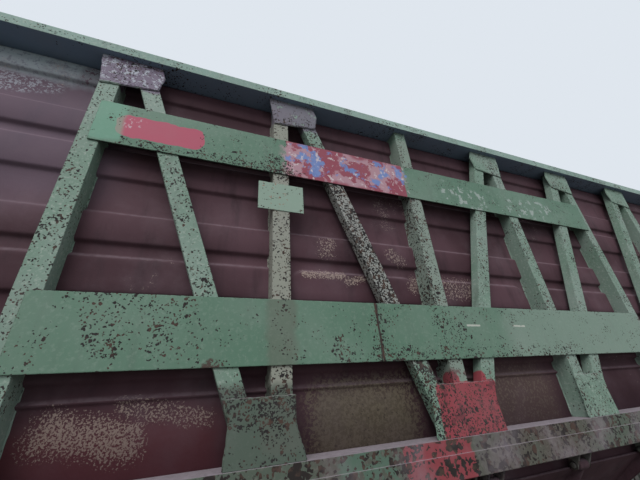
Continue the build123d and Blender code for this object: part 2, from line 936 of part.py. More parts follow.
def lying(radius, x0, x1):
    return Pos((x0 + x1) / 2, 0, 0) * (Rot(0, 90, 0) * Cylinder(radius, x1 - x0))


def crossing(radius, width):
    return Rot(90, 0, 0) * Cylinder(radius, width)


def cylinder_bracket():
    """Two cheeks under the centre sill with the trunnion pin."""
    cheek = [
        (centre_web_y + 30, centre_low_z),
        (pivot_y - 28, pivot_z - 6),
        (pivot_y - 12, pivot_z - 30),
        (pivot_y + 12, pivot_z - 30),
        (pivot_y + 28, pivot_z - 6),
        (pivot_y + 10, centre_low_z - 40),
        (centre_flange_y, centre_low_z),
    ]
    inner = tail_half + 8
    outer = inner + 14
    bracket = in_yz(cheek, -outer, -inner) + in_yz(cheek, inner, outer)
    return bracket + rod_x(pivot_y, pivot_z, pivot_r, -outer - 8, outer + 8)


def cylinder_barrel():
    bore = barrel_r - barrel_wall
    chamber = lying(bore, barrel_from + 16, barrel_to - 16)
    body = crossing(tail_half, 2 * tail_half)
    body += Pos(barrel_from / 2 + 5, 0, 0) * Box(barrel_from + 10, 60, 50)
    body += lying(barrel_r, barrel_from, barrel_to)
    body += lying(barrel_r + 12, barrel_to - 22, barrel_to)
    body += lying(barrel_r + 12, barrel_from, barrel_from + 18)
    body -= chamber
    body -= crossing(pivot_r + running, 3 * tail_half)
    body -= lying(rod_r + running, barrel_to - 30, barrel_to + 10)
    return along_cylinder(body)


def cylinder_rod():
    bore = barrel_r - barrel_wall
    shaft = lying(rod_r, piston_at, cylinder_reach - eye_r - 6)
    piston = lying(bore - running, piston_at, piston_at + piston_t)
    eye = crossing(eye_r + eye_rim, eye_t) - crossing(eye_r, eye_t + 2)
    return along_cylinder(shaft + piston + Pos(cylinder_reach, 0, 0) * eye)


# Bogies: cast side frames that carry the axle boxes, the springs and the bolster
frame_t = 130.0
frame_recess = 30.0
jaw_half = 135.0
jaw_top_z = axle_z + 152
box_half = 128.0
box_r = 122.0
spring_r = 62.0
spring_low_z = axle_z - 158
spring_high_z = axle_z + 87
spring_pitch = 136.0
window_half = 240.0
window_top_z = axle_z + 242
bogie_bolster_half = 188.0


def side_frame_outline():
    """Half outline of a side frame, from the middle outwards: along, and up from the axle."""
    half_base = bogie_wheelbase / 2
    jaw_in = half_base - jaw_half
    jaw_out = half_base + jaw_half
    jaw_rise = jaw_top_z - axle_z
    return [
        (430, 297),
        (720, 239),
        (half_base + 95, 227),
        (half_base + 250, 187),
        (half_base + 255, -63),
        (jaw_out, -63),
        (jaw_out, jaw_rise),
        (jaw_in, jaw_rise),
        (jaw_in, -53),
        (jaw_in - 90, -53),
        (430, -218),
    ]


def bogie_side_frames():
    """Two cast side frames with jaws, a bolster window, lightening eyes and spring seats."""
    half = [(x, axle_z + rise) for x, rise in side_frame_outline()]
    outline = half + [(-x, z) for x, z in reversed(half)]
    sketch = fillet((Sketch() + Polygon(*outline, align=None)).vertices(), 22)
    window_h = window_top_z - spring_low_z
    window = RectangleRounded(2 * window_half, window_h, 40)
    sketch -= Pos(0, spring_low_z + window_h / 2) * window
    jaw_in = bogie_wheelbase / 2 - jaw_half
    pockets = Sketch()
    for end in (-1, 1):
        eye = [
            (end * 455, axle_z + 187),
            (end * (jaw_in - 90), axle_z + 157),
            (end * (jaw_in - 90), axle_z + 37),
            (end * 455, axle_z - 103),
        ]
        sketch -= fillet(Polygon(*eye, align=None).vertices(), 30)
        column = [
            (end * (window_half + 32), axle_z + 202),
            (end * 425, axle_z + 212),
            (end * 425, axle_z - 118),
            (end * (window_half + 32), axle_z - 173),
        ]
        pockets += fillet(Polygon(*column, align=None).vertices(), 20)
    outer = journal_y + frame_t / 2
    frame = extrude(Plane.XZ.offset(-outer) * sketch, amount=frame_t, dir=(0, -1, 0))
    frame -= extrude(Plane.XZ.offset(-outer) * pockets, amount=frame_recess, dir=(0, -1, 0))
    frame -= extrude(Plane.XZ.offset(frame_t - outer) * pockets, amount=frame_recess, dir=(0, 1, 0))
    seat = (window_half - 4, journal_y - spring_pitch, journal_y + spring_pitch)
    frame += block(-seat[0], seat[0], seat[1], seat[2], spring_low_z - 30, spring_low_z)
    return frame + mirror(frame, about=Plane.XZ)


def bogie_bolster():
    half = [
        (330, axle_z + 287),
        (850, axle_z + 225),
        (journal_y + spring_pitch - 2, axle_z + 197),
        (journal_y + spring_pitch - 2, spring_high_z),
        (820, spring_high_z),
        (560, axle_z + 37),
    ]
    outline = half + [(-y, z) for y, z in reversed(half)]
    section = fillet((Sketch() + Polygon(*outline, align=None)).vertices(), 20)
    width = 2 * bogie_bolster_half
    beam = extrude(Plane.YZ.offset(-bogie_bolster_half) * section, amount=width, dir=(1, 0, 0))
    slot = extrude(SlotCenterToCenter(90, 90), bogie_bolster_half + 1, both=True)
    for y in (-bearer_y + 200, bearer_y - 200):
        beam -= Pos(0, y, axle_z + 147) * (Rot(0, 90, 0) * slot)
    for y in (-bearer_y, bearer_y):
        beam += block(-70, 70, y - 62, y + 62, axle_z + 197, bearing_rub_z)
    bowl_r = centre_plate_r + clear
    beam += Pos(0, 0, centre_plate_z - 17) * Cylinder(bowl_r + 34, 76)
    return beam - Pos(0, 0, centre_plate_z - seat_gap + 50) * Cylinder(bowl_r, 100)


def bogie_springs():
    springs = Part()
    height = spring_high_z - spring_low_z
    for side in (-1, 1):
        for x in (-spring_pitch, 0, spring_pitch):
            for y in (-spring_pitch / 2, spring_pitch / 2):
                place = Pos(x, side * journal_y + y, spring_low_z + height / 2)
                springs += place * Cylinder(spring_r, height)
    return springs


def axle_boxes():
    """Round boxes with a crown that fills the side frame's jaw."""
    boxes = Part()
    for side in (-1, 1):
        for end in (-1, 1):
            x = end * bogie_wheelbase / 2
            inner = side * (journal_y - 82)
            outer = side * (journal_y + 128)
            box = rod_y(x, axle_z, box_r, inner, outer)
            crown = [
                (x - box_half, axle_z),
                (x - box_half, jaw_top_z - 26),
                (x - box_half + 26, jaw_top_z),
                (x + box_half - 26, jaw_top_z),
                (x + box_half, jaw_top_z - 26),
                (x + box_half, axle_z),
            ]
            box += in_xz(crown, inner + side * 12, outer - side * 40)
            box -= rod_y(x, axle_z, journal_r + running, inner - side, outer - side * 18)
            boxes += box
    return boxes


shoe_gap = 8.0
shoe_t = 45.0
shoe_half = 38.0
beam_r = 26.0
beam_z = axle_z - 60
beam_from_middle = 357.0  # in the pockets of the side frames, which guide the beams


def brake_gear():
    """Brake beams with their shoes on the inner side of the wheels, and the pull rod between them."""
    gear = Part()
    shoe_y = wheel_back_y + wheel_width / 2 + 14
    shoe_in = tread_r + shoe_gap
    head_reach = shoe_in + shoe_t - 20
    beam_end = journal_y - frame_t / 2 + frame_recess
    for end in (-1, 1):
        centre = end * bogie_wheelbase / 2
        beam_at = end * beam_from_middle
        beam = rod_y(beam_at, beam_z, beam_r, -beam_end, beam_end)
        for y in (-shoe_y, shoe_y):
            shoe = rod_y(centre, axle_z, shoe_in + shoe_t, y - shoe_half, y + shoe_half)
            shoe -= rod_y(centre, axle_z, shoe_in, y - shoe_half - 1, y + shoe_half + 1)
            across = (y - shoe_half, y + shoe_half)
            shoe &= block(centre - end * 400, centre - end * 600, *across, axle_z - 190, axle_z + 110)
            head = (y - 20, y + 20, beam_z - 30, beam_z + 30)
            beam += shoe + block(beam_at - end * 20, centre - end * head_reach, *head)
        gear += beam
    return gear + rod_x(0, beam_z, 18, -beam_from_middle, beam_from_middle)


# Wheelsets
hub_r = 97.0


def wheels():
    """Pair of rolled wheels: flange, tread, dished web and hub."""
    back = wheel_back_y
    front = wheel_back_y + wheel_width
    top_r = tread_r + flange_h
    profile = [
        (back, tread_r - 51),
        (back, top_r - 7),
        (back + 8, top_r),
        (back + 20, top_r - 2),
        (back + 36, tread_r + 1),
        (front, tread_r - 5),
        (front, tread_r - 47),
        (front - 44, tread_r - 75),
        (front - 40, hub_r + 78),
        (front + 30, hub_r + 41),
        (front + 30, hub_r),
        (back - 20, hub_r),
        (back - 20, hub_r + 41),
        (back + 52, hub_r + 68),
        (back + 48, tread_r - 75),
    ]
    wheel = revolve(Plane.YZ * (Sketch() + Polygon(*profile, align=None)), Axis.Y)
    return wheel + mirror(wheel, about=Plane.XZ)


def axle():
    front = wheel_back_y + wheel_width
    half = [
        (0, hub_r - 15),
        (680, hub_r - 11),
        (wheel_back_y - 22, hub_r),
        (front + 34, hub_r),
        (front + 44, hub_r - 9),
        (journal_y - 88, hub_r - 11),
        (journal_y - 84, journal_r),
        (journal_y + 104, journal_r),
    ]
    outline = [(-y, r) for y, r in reversed(half)] + half[1:]
    outline = [(-half[-1][0], 0)] + outline + [(half[-1][0], 0)]
    return revolve(Plane.YZ * (Sketch() + Polygon(*outline, align=None)), Axis.Y)


nodes = {
    "centre_sill": centre_sill(),
    "top_frame": top_frame(),
    "saddle": saddle(),
    "hand_brake": hand_brake(),
    "hand_wheel": hand_wheel(),
    "brake_cylinder": brake_cylinder(),
    "air_reservoir": air_reservoir(),
}
side_pieces = {
    "side_sill": side_sill,
    "side_wall": side_wall,
    "side_truss": side_truss,
    "side_bands": side_bands,
    "throat_sheet": throat_sheet,
    "hatch": hatch,
    "cylinder_bracket": cylinder_bracket,
    "cylinder_barrel": cylinder_barrel,
    "cylinder_rod": cylinder_rod,
}
for piece, make in side_pieces.items():
    shape = make()
    for side in sides:
        nodes[f"{piece}_{side}"] = mirrored_side(shape, side)
end_pieces = {
    # piece: how it is drawn, how it is carried to the rear end
    "end_slope": (end_slope, mirrored_end),
    "end_sill": (end_sill, turned_end),
    "end_posts": (end_posts, mirrored_end),
    "end_beam": (end_beam, mirrored_end),
    "platform": (platform, mirrored_end),
    "body_bolster": (body_bolster, mirrored_end),
    "ladder": (ladder, turned_end),
    "coupler": (coupler, turned_end),
}
for piece, (make, carry) in end_pieces.items():
    shape = make()
    for end in ends:
        nodes[f"{piece}_{end}"] = carry(shape, end)
bogie_pieces = {
    "bogie_side_frames": bogie_side_frames,
    "bogie_bolster": bogie_bolster,
    "bogie_springs": bogie_springs,
    "axle_boxes": axle_boxes,
    "brake_gear": brake_gear,
}
for piece, make in bogie_pieces.items():
    shape = make()
    for end, way in ends.items():
        nodes[f"{piece}_{end}"] = Pos(way * bogie_x, 0, 0) * shape
wheel_pair = wheels()
axle_bar = axle()
wheelset_row = [bogie_x + bogie_wheelbase / 2, bogie_x - bogie_wheelbase / 2]
wheelset_row += [-x for x in reversed(wheelset_row)]
for number, x in enumerate(wheelset_row, start=1):
    nodes[f"wheels_{number}"] = Pos(x, 0, axle_z) * wheel_pair
    nodes[f"axle_{number}"] = Pos(x, 0, axle_z) * axle_bar

for node, shape in nodes.items():
    export_step(shape, f"parts/{node}.step")
print(len(nodes), "nodes")
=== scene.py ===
import math
from functools import partial

import bmesh
import bpy
from mathutils import Matrix, Vector, noise


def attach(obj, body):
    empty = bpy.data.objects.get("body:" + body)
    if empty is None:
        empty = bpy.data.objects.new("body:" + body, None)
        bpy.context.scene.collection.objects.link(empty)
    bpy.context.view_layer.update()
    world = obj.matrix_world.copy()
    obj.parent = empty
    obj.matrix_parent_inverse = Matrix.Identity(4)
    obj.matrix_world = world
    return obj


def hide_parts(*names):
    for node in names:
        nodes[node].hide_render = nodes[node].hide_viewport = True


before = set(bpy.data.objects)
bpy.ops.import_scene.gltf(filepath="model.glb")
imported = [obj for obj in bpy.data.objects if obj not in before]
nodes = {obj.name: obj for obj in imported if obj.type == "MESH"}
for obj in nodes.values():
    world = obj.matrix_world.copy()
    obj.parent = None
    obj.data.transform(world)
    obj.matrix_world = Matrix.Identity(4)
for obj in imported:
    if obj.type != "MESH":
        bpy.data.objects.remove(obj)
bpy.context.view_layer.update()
scene = bpy.context.scene
print("frame loaded,", len(nodes), "CAD nodes")


# shared sizes in metres, the same as the CAD's
wagon = {
    "faceOut": 1.530, "postFace": 1.522, "wallOut": 1.410, "sillTop": 1.126, "chordLow": 3.228,
    "postPitch": 0.995, "postWidth": 0.097, "bogieX": 3.895, "halfBase": 0.925, "axleZ": 0.503,
    "headstockX": 5.390, "deckZ": 1.216,
}
sides = {"left": 1, "right": -1}
ends = {"front": 1, "rear": -1}


def fromHex(code):
    values = [int(code[i:i + 2], 16) / 255 for i in (1, 3, 5)]
    linear = [v / 12.92 if v <= 0.04045 else ((v + 0.055) / 1.055) ** 2.4 for v in values]
    return (*linear, 1)


rgba = {"data_type": "RGBA"}
eased = {"interpolation_type": "SMOOTHSTEP"}
times = {"operation": "MULTIPLY"}
plus = {"operation": "ADD"}
minus = {"operation": "SUBTRACT"}
larger = {"operation": "MAXIMUM"}


def addNode(tree, kind, links=None, out=0, **settings):
    # adds one node, sets it, wires or fills its sockets, and hands back one of its outputs
    node = tree.nodes.new("ShaderNode" + kind)
    for key, value in settings.items():
        setattr(node, key, value)
    for key, value in (links or {}).items():
        if isinstance(value, bpy.types.NodeSocket):
            tree.links.new(value, node.inputs[key])
        else:
            node.inputs[key].default_value = value
    return node.outputs[out] if node.outputs else node


def grains(where, scale, detail, roughness=0.5):
    return {"Vector": where, "Scale": scale, "Detail": detail, "Roughness": roughness}


def newMaterial(name):
    # an empty material, and addNode for its tree
    made = bpy.data.materials.new(name)
    made.use_nodes = True
    made.node_tree.nodes.clear()
    return made, partial(addNode, made.node_tree)


def raggedPlace(add, where, size, reach):
    # coordinates pushed about by up to half the reach, so that a patch drawn with them has a torn outline
    cloud = add("TexNoise", grains(where, 1 / size, 4), 1)
    offset = add("VectorMath", {0: cloud, 1: (0.5, 0.5, 0.5)}, **minus)
    push = add("VectorMath", {0: offset, "Scale": reach}, operation="SCALE")
    return add("VectorMath", {0: where, 1: push}, **plus)


def patch(centre, half, edge, tear, colour=None, **rest):
    # a rounded box in metres: corner radius and softness of its edge, reach and size of what tears it
    return {"centre": centre, "half": half, "round": edge[0], "soft": edge[1], "torn": tear[0],
            "tornSize": tear[1], "colour": colour, **rest}


def paintPatch(add, where, spot):
    # 1 inside the patch's box, 0 outside it, with holes where the paint has broken up
    place = raggedPlace(add, where, spot["tornSize"], spot["torn"])
    gap = add("VectorMath", {0: place, 1: spot["centre"]}, **minus)
    if "lean" in spot:
        gap = add("VectorRotate", {0: gap, "Axis": (0, 1, 0), "Angle": math.radians(spot["lean"])})
    gap = add("VectorMath", {0: gap}, operation="ABSOLUTE")
    gap = add("VectorMath", {0: gap, 1: spot["half"]}, **minus)
    gap = add("VectorMath", {0: gap, 1: (0, 0, 0)}, **larger)
    away = add("VectorMath", {0: gap}, 1, operation="LENGTH")
    end = spot["round"] + spot["soft"]
    cover = add("MapRange", {0: away, 1: spot["round"], 2: end, 3: 1, 4: 0}, **eased)
    if "broken" in spot:
        scale = 1 / spot["grain"]
        holes = add("TexNoise", grains(where, scale, 5, 0.65))
        kept = add("MapRange", {0: holes, 1: spot["broken"], 2: spot["broken"] + 0.04}, **eased)
        cover = add("Math", {0: cover, 1: kept}, **times)
    return add("Math", {0: cover, 1: spot.get("share", 1.0)}, **times)


def weathered(add, where, look):
    # two tones of the same paint in slow clouds, then dirty runs that rain has drawn down it
    tone = add("TexNoise", grains(where, 1 / look["cloud"], 4))
    tone = add("MapRange", {0: tone, 1: 0.35, 2: 0.65}, **eased)
    colour = add("Mix", {0: tone, 6: fromHex(look["fresh"]), 7: fromHex(look["faded"])}, 2, **rgba)
    tall = add("VectorMath", {0: where, 1: (1 / look["runWide"], 1 / look["runWide"], 2)}, **times)
    runs = add("TexNoise", grains(tall, 1, 5, 0.6))
    runs = add("MapRange", {0: runs, 1: 0.5, 2: 0.74, 4: look["runs"]}, **eased)
    return add("Mix", {0: runs, 6: colour, 7: fromHex(look["dirt"])}, 2, **rgba)


def dusted(add, where, colour, look):
    # ore dust on what looks up, thick enough to hide the paint, and a thin grey film elsewhere
    normal = add("NewGeometry", {}, 1)
    upward = add("SeparateXYZ", {0: normal}, 2)
    level = add("MapRange", {0: upward, 1: look.get("dustFrom", 0.45), 2: 0.9}, **eased)
    drift = add("TexNoise", grains(where, 1 / 0.035, 5, 0.6))
    drift = add("MapRange", {0: drift, 1: 0.35, 2: 0.62, 3: 1 - look["bareness"], 4: 1}, **eased)
    settled = add("Math", {0: level, 1: drift}, **times)
    settled = add("Math", {0: settled, 1: look["dust"]}, **times)
    film = add("TexNoise", grains(where, 1 / 0.3, 6, 0.62))
    film = add("MapRange", {0: film, 1: 0.42, 2: 0.75, 4: look["film"]}, **eased)
    cover = add("Math", {0: settled, 1: film}, **larger)
    return add("Mix", {0: cover, 6: colour, 7: fromHex(look["dustColour"])}, 2, **rgba)


def edgeShare(add, rounded):
    # how far a rounded normal leaves the true one: 1 along an edge, 0 on a face
    normal = add("NewGeometry", {}, 1)
    same = add("VectorMath", {0: rounded, 1: normal}, 1, operation="DOT_PRODUCT")
    return add("MapRange", {0: same, 1: 0.80, 2: 0.995, 3: 1, 4: 0}, **eased)


def finishedWith(add, colour, roughness, height, depth, normal, **sockets):
    # height runs from 0 to 1 and depth is its real size in metres
    bump = add("Bump", {"Strength": 1.0, "Distance": depth, "Height": height, "Normal": normal})
    links = {"Base Color": colour, "Roughness": roughness, "Normal": bump, **sockets}
    shader = add("BsdfPrincipled", links)
    add("OutputMaterial", {0: shader})


# Alkyd enamel brushed over mill scale on rolled steel: chalky and matt, flaked off in small dark angular
# specks, more of them where the bar's edges were knocked
def alkydEnamel(name, look):
    made, add = newMaterial(name)
    where = add("TexCoord", {}, 3)
    colour = weathered(add, where, look)
    # chalk stands in fine flecks, a little coarser than the real 2 mm so that they show
    flecks = add("TexNoise", grains(where, 1 / 0.016, 6, 0.72))
    flecks = add("MapRange", {0: flecks, 1: 0.5, 2: 0.66, 4: look["chalking"]}, **eased)
    colour = add("Mix", {0: flecks, 6: colour, 7: fromHex(look["chalk"])}, 2, **rgba)
    for spot in look["patches"]:
        cover = paintPatch(add, where, spot)
        colour = add("Mix", {0: cover, 6: colour, 7: fromHex(spot["colour"])}, 2, **rgba)
    # faces that look down are painted towards a darker colour: painted shade
    normal = add("NewGeometry", {}, 1)
    upward = add("SeparateXYZ", {0: normal}, 2)
    paintedShadeMask = add("MapRange", {0: upward, 1: -0.9, 2: -0.5, 3: look["paintedShade"], 4: 0}, **eased)
    colour = add("Mix", {0: paintedShadeMask, 6: colour, 7: fromHex(look["paintedShadeColour"])}, 2, **rgba)
    rounded = add("Bevel", {"Radius": look["edge"]}, samples=4)
    scale = 1 / look["crowd"]
    crowd = add("TexNoise", grains(where, scale, 5, 0.65))
    crowd = add("MapRange", {0: crowd, 1: 0.35, 2: 0.65, 3: -look["crowding"], 4: look["crowding"]})
    knocks = add("Math", {0: edgeShare(add, rounded), 1: look["knocks"]}, **times)
    crowd = add("Math", {0: crowd, 1: knocks}, **plus)
    # sides of the bars that look along the wagon are sheltered and keep their paint
    along = add("SeparateXYZ", {0: normal}, 0)
    along = add("Math", {0: along}, operation="ABSOLUTE")
    along = add("MapRange", {0: along, 1: 0.4, 2: 0.8, 4: look["shelter"]}, **eased)
    crowd = add("Math", {0: crowd, 1: along}, **minus)
    for spot in look["clusters"]:
        denser = paintPatch(add, where, spot)
        crowd = add("Math", {0: crowd, 1: denser}, **plus)
    # each cell of cracked paint holds or falls by itself, so that what falls leaves corners
    torn = raggedPlace(add, where, 0.009, 0.006)
    chip = 0.0
    for grain, loss in look["flakes"]:
        cells = add("TexVoronoi", {"Vector": torn, "Scale": 1 / grain}, 1)
        luck = add("SeparateXYZ", {0: cells})
        level = add("Math", {0: luck, 1: crowd}, **plus)
        fallen = add("MapRange", {0: level, 1: 1 - loss, 2: 1.01 - loss}, **eased)
        chip = add("Math", {0: chip, 1: fallen}, **larger)
    rusty = add("TexNoise", grains(where, 1 / 0.04, 4))
    rusty = add("MapRange", {0: rusty, 1: 0.46, 2: 0.62}, **eased)
    bare = add("Mix", {0: rusty, 6: fromHex(look["scale"]), 7: fromHex(look["rust"])}, 2, **rgba)
    colour = add("Mix", {0: chip, 6: colour, 7: bare}, 2, **rgba)
    colour = dusted(add, where, colour, look)
    height = add("Math", {0: chip, 1: -1.0}, **times)
    coat = add("TexNoise", grains(where, 1 / 0.005, 2))
    coat = add("Math", {0: coat, 1: 0.10}, **times)
    height = add("Math", {0: height, 1: coat}, **plus)
    rough = add("MapRange", {0: chip, 3: look["matt"], 4: 0.92})
    finishedWith(add, colour, rough, height, look["coatDepth"], rounded, **{"Specular IOR Level": 0.4})
    return made


greenTones = {
    "fresh": "#7a9684", "faded": "#8fa497", "cloud": 0.6, "runWide": 0.07, "runs": 0.4, "dirt": "#5c675e",
    # faces that look down take a darker colour below as painted shade
    "chalk": "#b2bfb2", "chalking": 0.6, "patches": [], "clusters": [], "paintedShade": 0.6, "paintedShadeColour": "#3c4440",
    "edge": 0.006, "crowd": 0.22, "crowding": 0.13, "knocks": 0.14, "shelter": 0.10,
    "flakes": [(0.012, 0.03), (0.006, 0.10)], "scale": "#2f2b2b", "rust": "#55423a", "dust": 0.85,
    "bareness": 0.5, "film": 0.18, "dustColour": "#948e8d", "matt": 0.66, "coatDepth": 0.0009,
}
trussEnamel = alkydEnamel("alkydEnamelTruss", {
    **greenTones,
    "clusters": [
        # the first brace and post beside the plate have lost the most, and so have the feet
        patch((-0.48, -1.53, 2.05), (0.24, 0.05, 0.6), (0.1, 0.2), (0.1, 0.3), share=0.27),
        patch((-1.1, -1.53, 1.33), (0.18, 0.05, 0.03), (0.02, 0.04), (0.1, 0.1), share=0.22),
        patch((0.03, -1.53, 1.18), (0.19, 0.05, 0.03), (0.02, 0.06), (0.10, 0.1), share=0.12),
    ],
    "patches": [
        # the post behind the plate and the brace beside it have chalked to a stone grey
        patch((-0.995, -1.50, 2.15), (0.04, 0.08, 0.95), (0.03, 0.03), (0.05, 0.2), "#a09d91", share=0.8),
        patch((-0.55, -1.50, 2.15), (0.22, 0.08, 0.60), (0.05, 0.08), (0.06, 0.2), "#a8a6a2", share=0.8),
        # the middle post is painted a paler grey, as painted glare
        patch((0.0, -1.50, 2.15), (0.04, 0.12, 0.95), (0.03, 0.03), (0.05, 0.2), "#929c91", share=0.6),
        # the foot gusset beside it is darker and dirtier than the bars
        patch((-1.10, -1.53, 1.22), (0.20, 0.03, 0.12), (0.05, 0.05), (0.06, 0.1), "#535e53", share=0.9),
        # red brushed over the middle gusset, with two round ends above its upper edge and darker strokes in it
        patch((0.03, -1.53, 1.24), (0.19, 0.05, 0.11), (0.02, 0.008), (0.05, 0.05), "#a04850"),
        patch((-0.07, -1.53, 1.375), (0.025, 0.05, 0.01), (0.035, 0.008), (0.03, 0.04), "#a04850"),
        patch((0.13, -1.53, 1.375), (0.02, 0.05, 0.015), (0.035, 0.008), (0.03, 0.04), "#a04850"),
        patch((0.03, -1.53, 1.27), (0.19, 0.05, 0.13), (0.02, 0.02), (0.08, 0.05), "#6c3a40",
              broken=0.54, grain=0.07, share=0.7),
        # violet paint over the first head gusset, crackled through to white
        patch((-1.86, -1.53, 3.13), (0.17, 0.04, 0.08), (0.03, 0.02), (0.06, 0.08), "#7a6a80", share=0.95),
        patch((-1.90, -1.53, 3.15), (0.13, 0.04, 0.06), (0.03, 0.06), (0.10, 0.08), "#c3c9d2",
              broken=0.53, grain=0.022, share=0.8),
        # dusky violet on the next head gusset
        patch((-0.90, -1.53, 3.12), (0.17, 0.04, 0.08), (0.03, 0.03), (0.06, 0.08), "#77707f",
              broken=0.36, grain=0.05, share=0.9),
    ],
})
bandPatches = [
    # raspberry block painted over the left end of the upper band, scratched at its left
    patch((-1.672, -1.53, 2.708), (0.168, 0.05, 0.022), (0.052, 0.004), (0.030, 0.05), "#c05a70"),
    patch((-1.81, -1.53, 2.725), (0.03, 0.05, 0.015), (0.01, 0.02), (0.05, 0.05), "#d8c0c8",
          broken=0.56, grain=0.02, share=0.7),
    # small plate, paler than the bands
    patch((-0.995, -1.54, 2.402), (0.13, 0.05, 0.09), (0.01, 0.01), (0.01, 0.05), "#a3b8a8", share=0.75),
    patch((-1.06, -1.54, 2.402), (0.07, 0.05, 0.09), (0.01, 0.03), (0.06, 0.05), "#a2644f",
          broken=0.61, grain=0.02, share=0.8),
    # bleached part of the middle band, towards its right end
    patch((1.30, -1.53, 1.64), (0.60, 0.05, 0.12), (0.05, 0.30), (0.2, 0.3), "#a3b0a6", share=0.4),
    # fresher green at the upper band's left end
    patch((-1.93, -1.53, 2.72), (0.04, 0.05, 0.10), (0.02, 0.03), (0.04, 0.1), "#7db59b", share=0.6),
    # red overpaint from the plate's post to the middle post
    patch((-0.517, -1.53, 2.714), (0.441, 0.05, 0.141), (0.001, 0.006), (0.012, 0.04), "#9c4c5c"),
    # worn white and blue remains smeared across it
    patch((-0.52, -1.53, 2.714), (0.40, 0.05, 0.07), (0.04, 0.05), (0.14, 0.11), "#c7a3ad",
          broken=0.48, grain=0.16, share=0.75),
    patch((-0.50, -1.53, 2.720), (0.41, 0.05, 0.06), (0.04, 0.02), (0.16, 0.10), "#6b92cf",
          broken=0.52, grain=0.12, share=0.85),
    patch((-0.50, -1.53, 2.714), (0.41, 0.05, 0.09), (0.03, 0.03), (0.10, 0.06), "#ddd0d2",
          broken=0.585, grain=0.035, share=0.85),
    # pale scraped streaks on the upper band beyond it
    patch((0.95, -1.53, 2.67), (0.60, 0.05, 0.05), (0.03, 0.05), (0.16, 0.12), "#b9c2bd",
          broken=0.55, grain=0.06, share=0.7),
    # rust where the middle band meets the foot of the first brace, and along its joint
    patch((-1.297, -1.53, 1.487), (0.006, 0.05, 0.001), (0.024, 0.010), (0.03, 0.02), "#4c3d34",
          broken=0.40, grain=0.02),
    patch((-0.468, -1.53, 1.64), (0.001, 0.05, 0.16), (0.003, 0.004), (0.008, 0.03), "#4a332c", lean=2.0),
    patch((-0.995, -1.53, 1.60), (0.03, 0.05, 0.16), (0.02, 0.04), (0.06, 0.06), "#6d675c", share=0.45),
]
# two pale dashes on the middle band
bandPatches += [
    patch((x, -1.53, 1.672), (0.05, 0.05, 0.001), (0.003, 0.003), (0.006, 0.02), "#c8ccc0",
          broken=0.40, grain=0.02) for x in (0.20, 0.59)
]
bandEnamel = alkydEnamel("alkydEnamelBands", {
    **greenTones, "fresh": "#62846f", "faded": "#6f8d7a", "runs": 0.25, "chalking": 0.16, "crowd": 0.10,
    "crowding": 0.10, "flakes": [(0.012, -0.03), (0.006, 0.015)], "film": 0.1, "knocks": 0.22,
    "patches": bandPatches,
    "clusters": [
        # chips crowd at the left of the middle band, at its joint and along its lower edge
        patch((-1.58, -1.53, 1.68), (0.10, 0.05, 0.06), (0.05, 0.10), (0.1, 0.1), share=0.09),
        patch((-0.468, -1.53, 1.64), (0.03, 0.05, 0.14), (0.02, 0.05), (0.1, 0.1), share=0.07),
        patch((0.2, -1.53, 1.51), (0.9, 0.05, 0.01), (0.02, 0.05), (0.1, 0.1), share=0.10),
        patch((0.05, -1.53, 1.66), (0.10, 0.05, 0.08), (0.02, 0.10), (0.1, 0.1), share=0.06),
        patch((-1.35, -1.53, 2.59), (0.50, 0.05, 0.010), (0.01, 0.03), (0.1, 0.1), share=0.16),
        patch((-0.99, -1.53, 2.62), (0.04, 0.05, 0.03), (0.02, 0.05), (0.1, 0.1), share=0.20),
        # the later red paints hold better
        patch((-1.667, -1.53, 2.72), (0.17, 0.05, 0.05), (0.01, 0.02), (0.02, 0.1), share=-0.3),
        patch((-0.50, -1.53, 2.72), (0.40, 0.05, 0.12), (0.02, 0.03), (0.1, 0.1), share=-0.1),
    ],
})
# the lip: its green pushed a little paler as painted glare, and its underside painted in shade tinted blue, a
# painted reflection of the sky
lipEnamel = alkydEnamel("alkydEnamelLip", {
    **greenTones, "fresh": "#9cb7ab", "faded": "#86a397", "paintedShade": 0.94, "paintedShadeColour": "#7b8ea8", "knocks": 0.1,
    "flakes": [(0.012, -0.02), (0.006, 0.04)],
})
sillEnamel = alkydEnamel("alkydEnamelSill", {
    **greenTones, "fresh": "#5a6558", "faded": "#5b524a", "chalk": "#77746a", "chalking": 0.7, "crowd": 0.12,
    "crowding": 0.22, "flakes": [(0.030, 0.22), (0.012, 0.22)], "scale": "#2f2927", "rust": "#54423a",
    "knocks": -0.1, "dustColour": "#a0959c", "dust": 1.0, "bareness": 0.2, "film": 0.6, "coatDepth": 0.0018,
    "patches": [
        patch((-0.248, -1.54, 1.041), (0.18, 0.05, 0.07), (0.01, 0.015), (0.04, 0.05), "#97454b"),
        patch((-0.62, -1.54, 1.05), (0.10, 0.05, 0.05), (0.02, 0.05), (0.08, 0.08), "#5c7464",
              broken=0.45, grain=0.05),
    ],
})
deckEnamel = alkydEnamel("alkydEnamelDeck", {
    **greenTones, "fresh": "#4d4b48", "faded": "#5c5852", "chalk": "#6c6862", "crowding": 0.2, "knocks": 0.4,
    "flakes": [(0.04, 0.10), (0.015, 0.15)], "scale": "#3a322d", "rust": "#5b4336", "film": 0.4, "bareness": 0.6,
    "dust": 0.7,
})
print("green enamels")


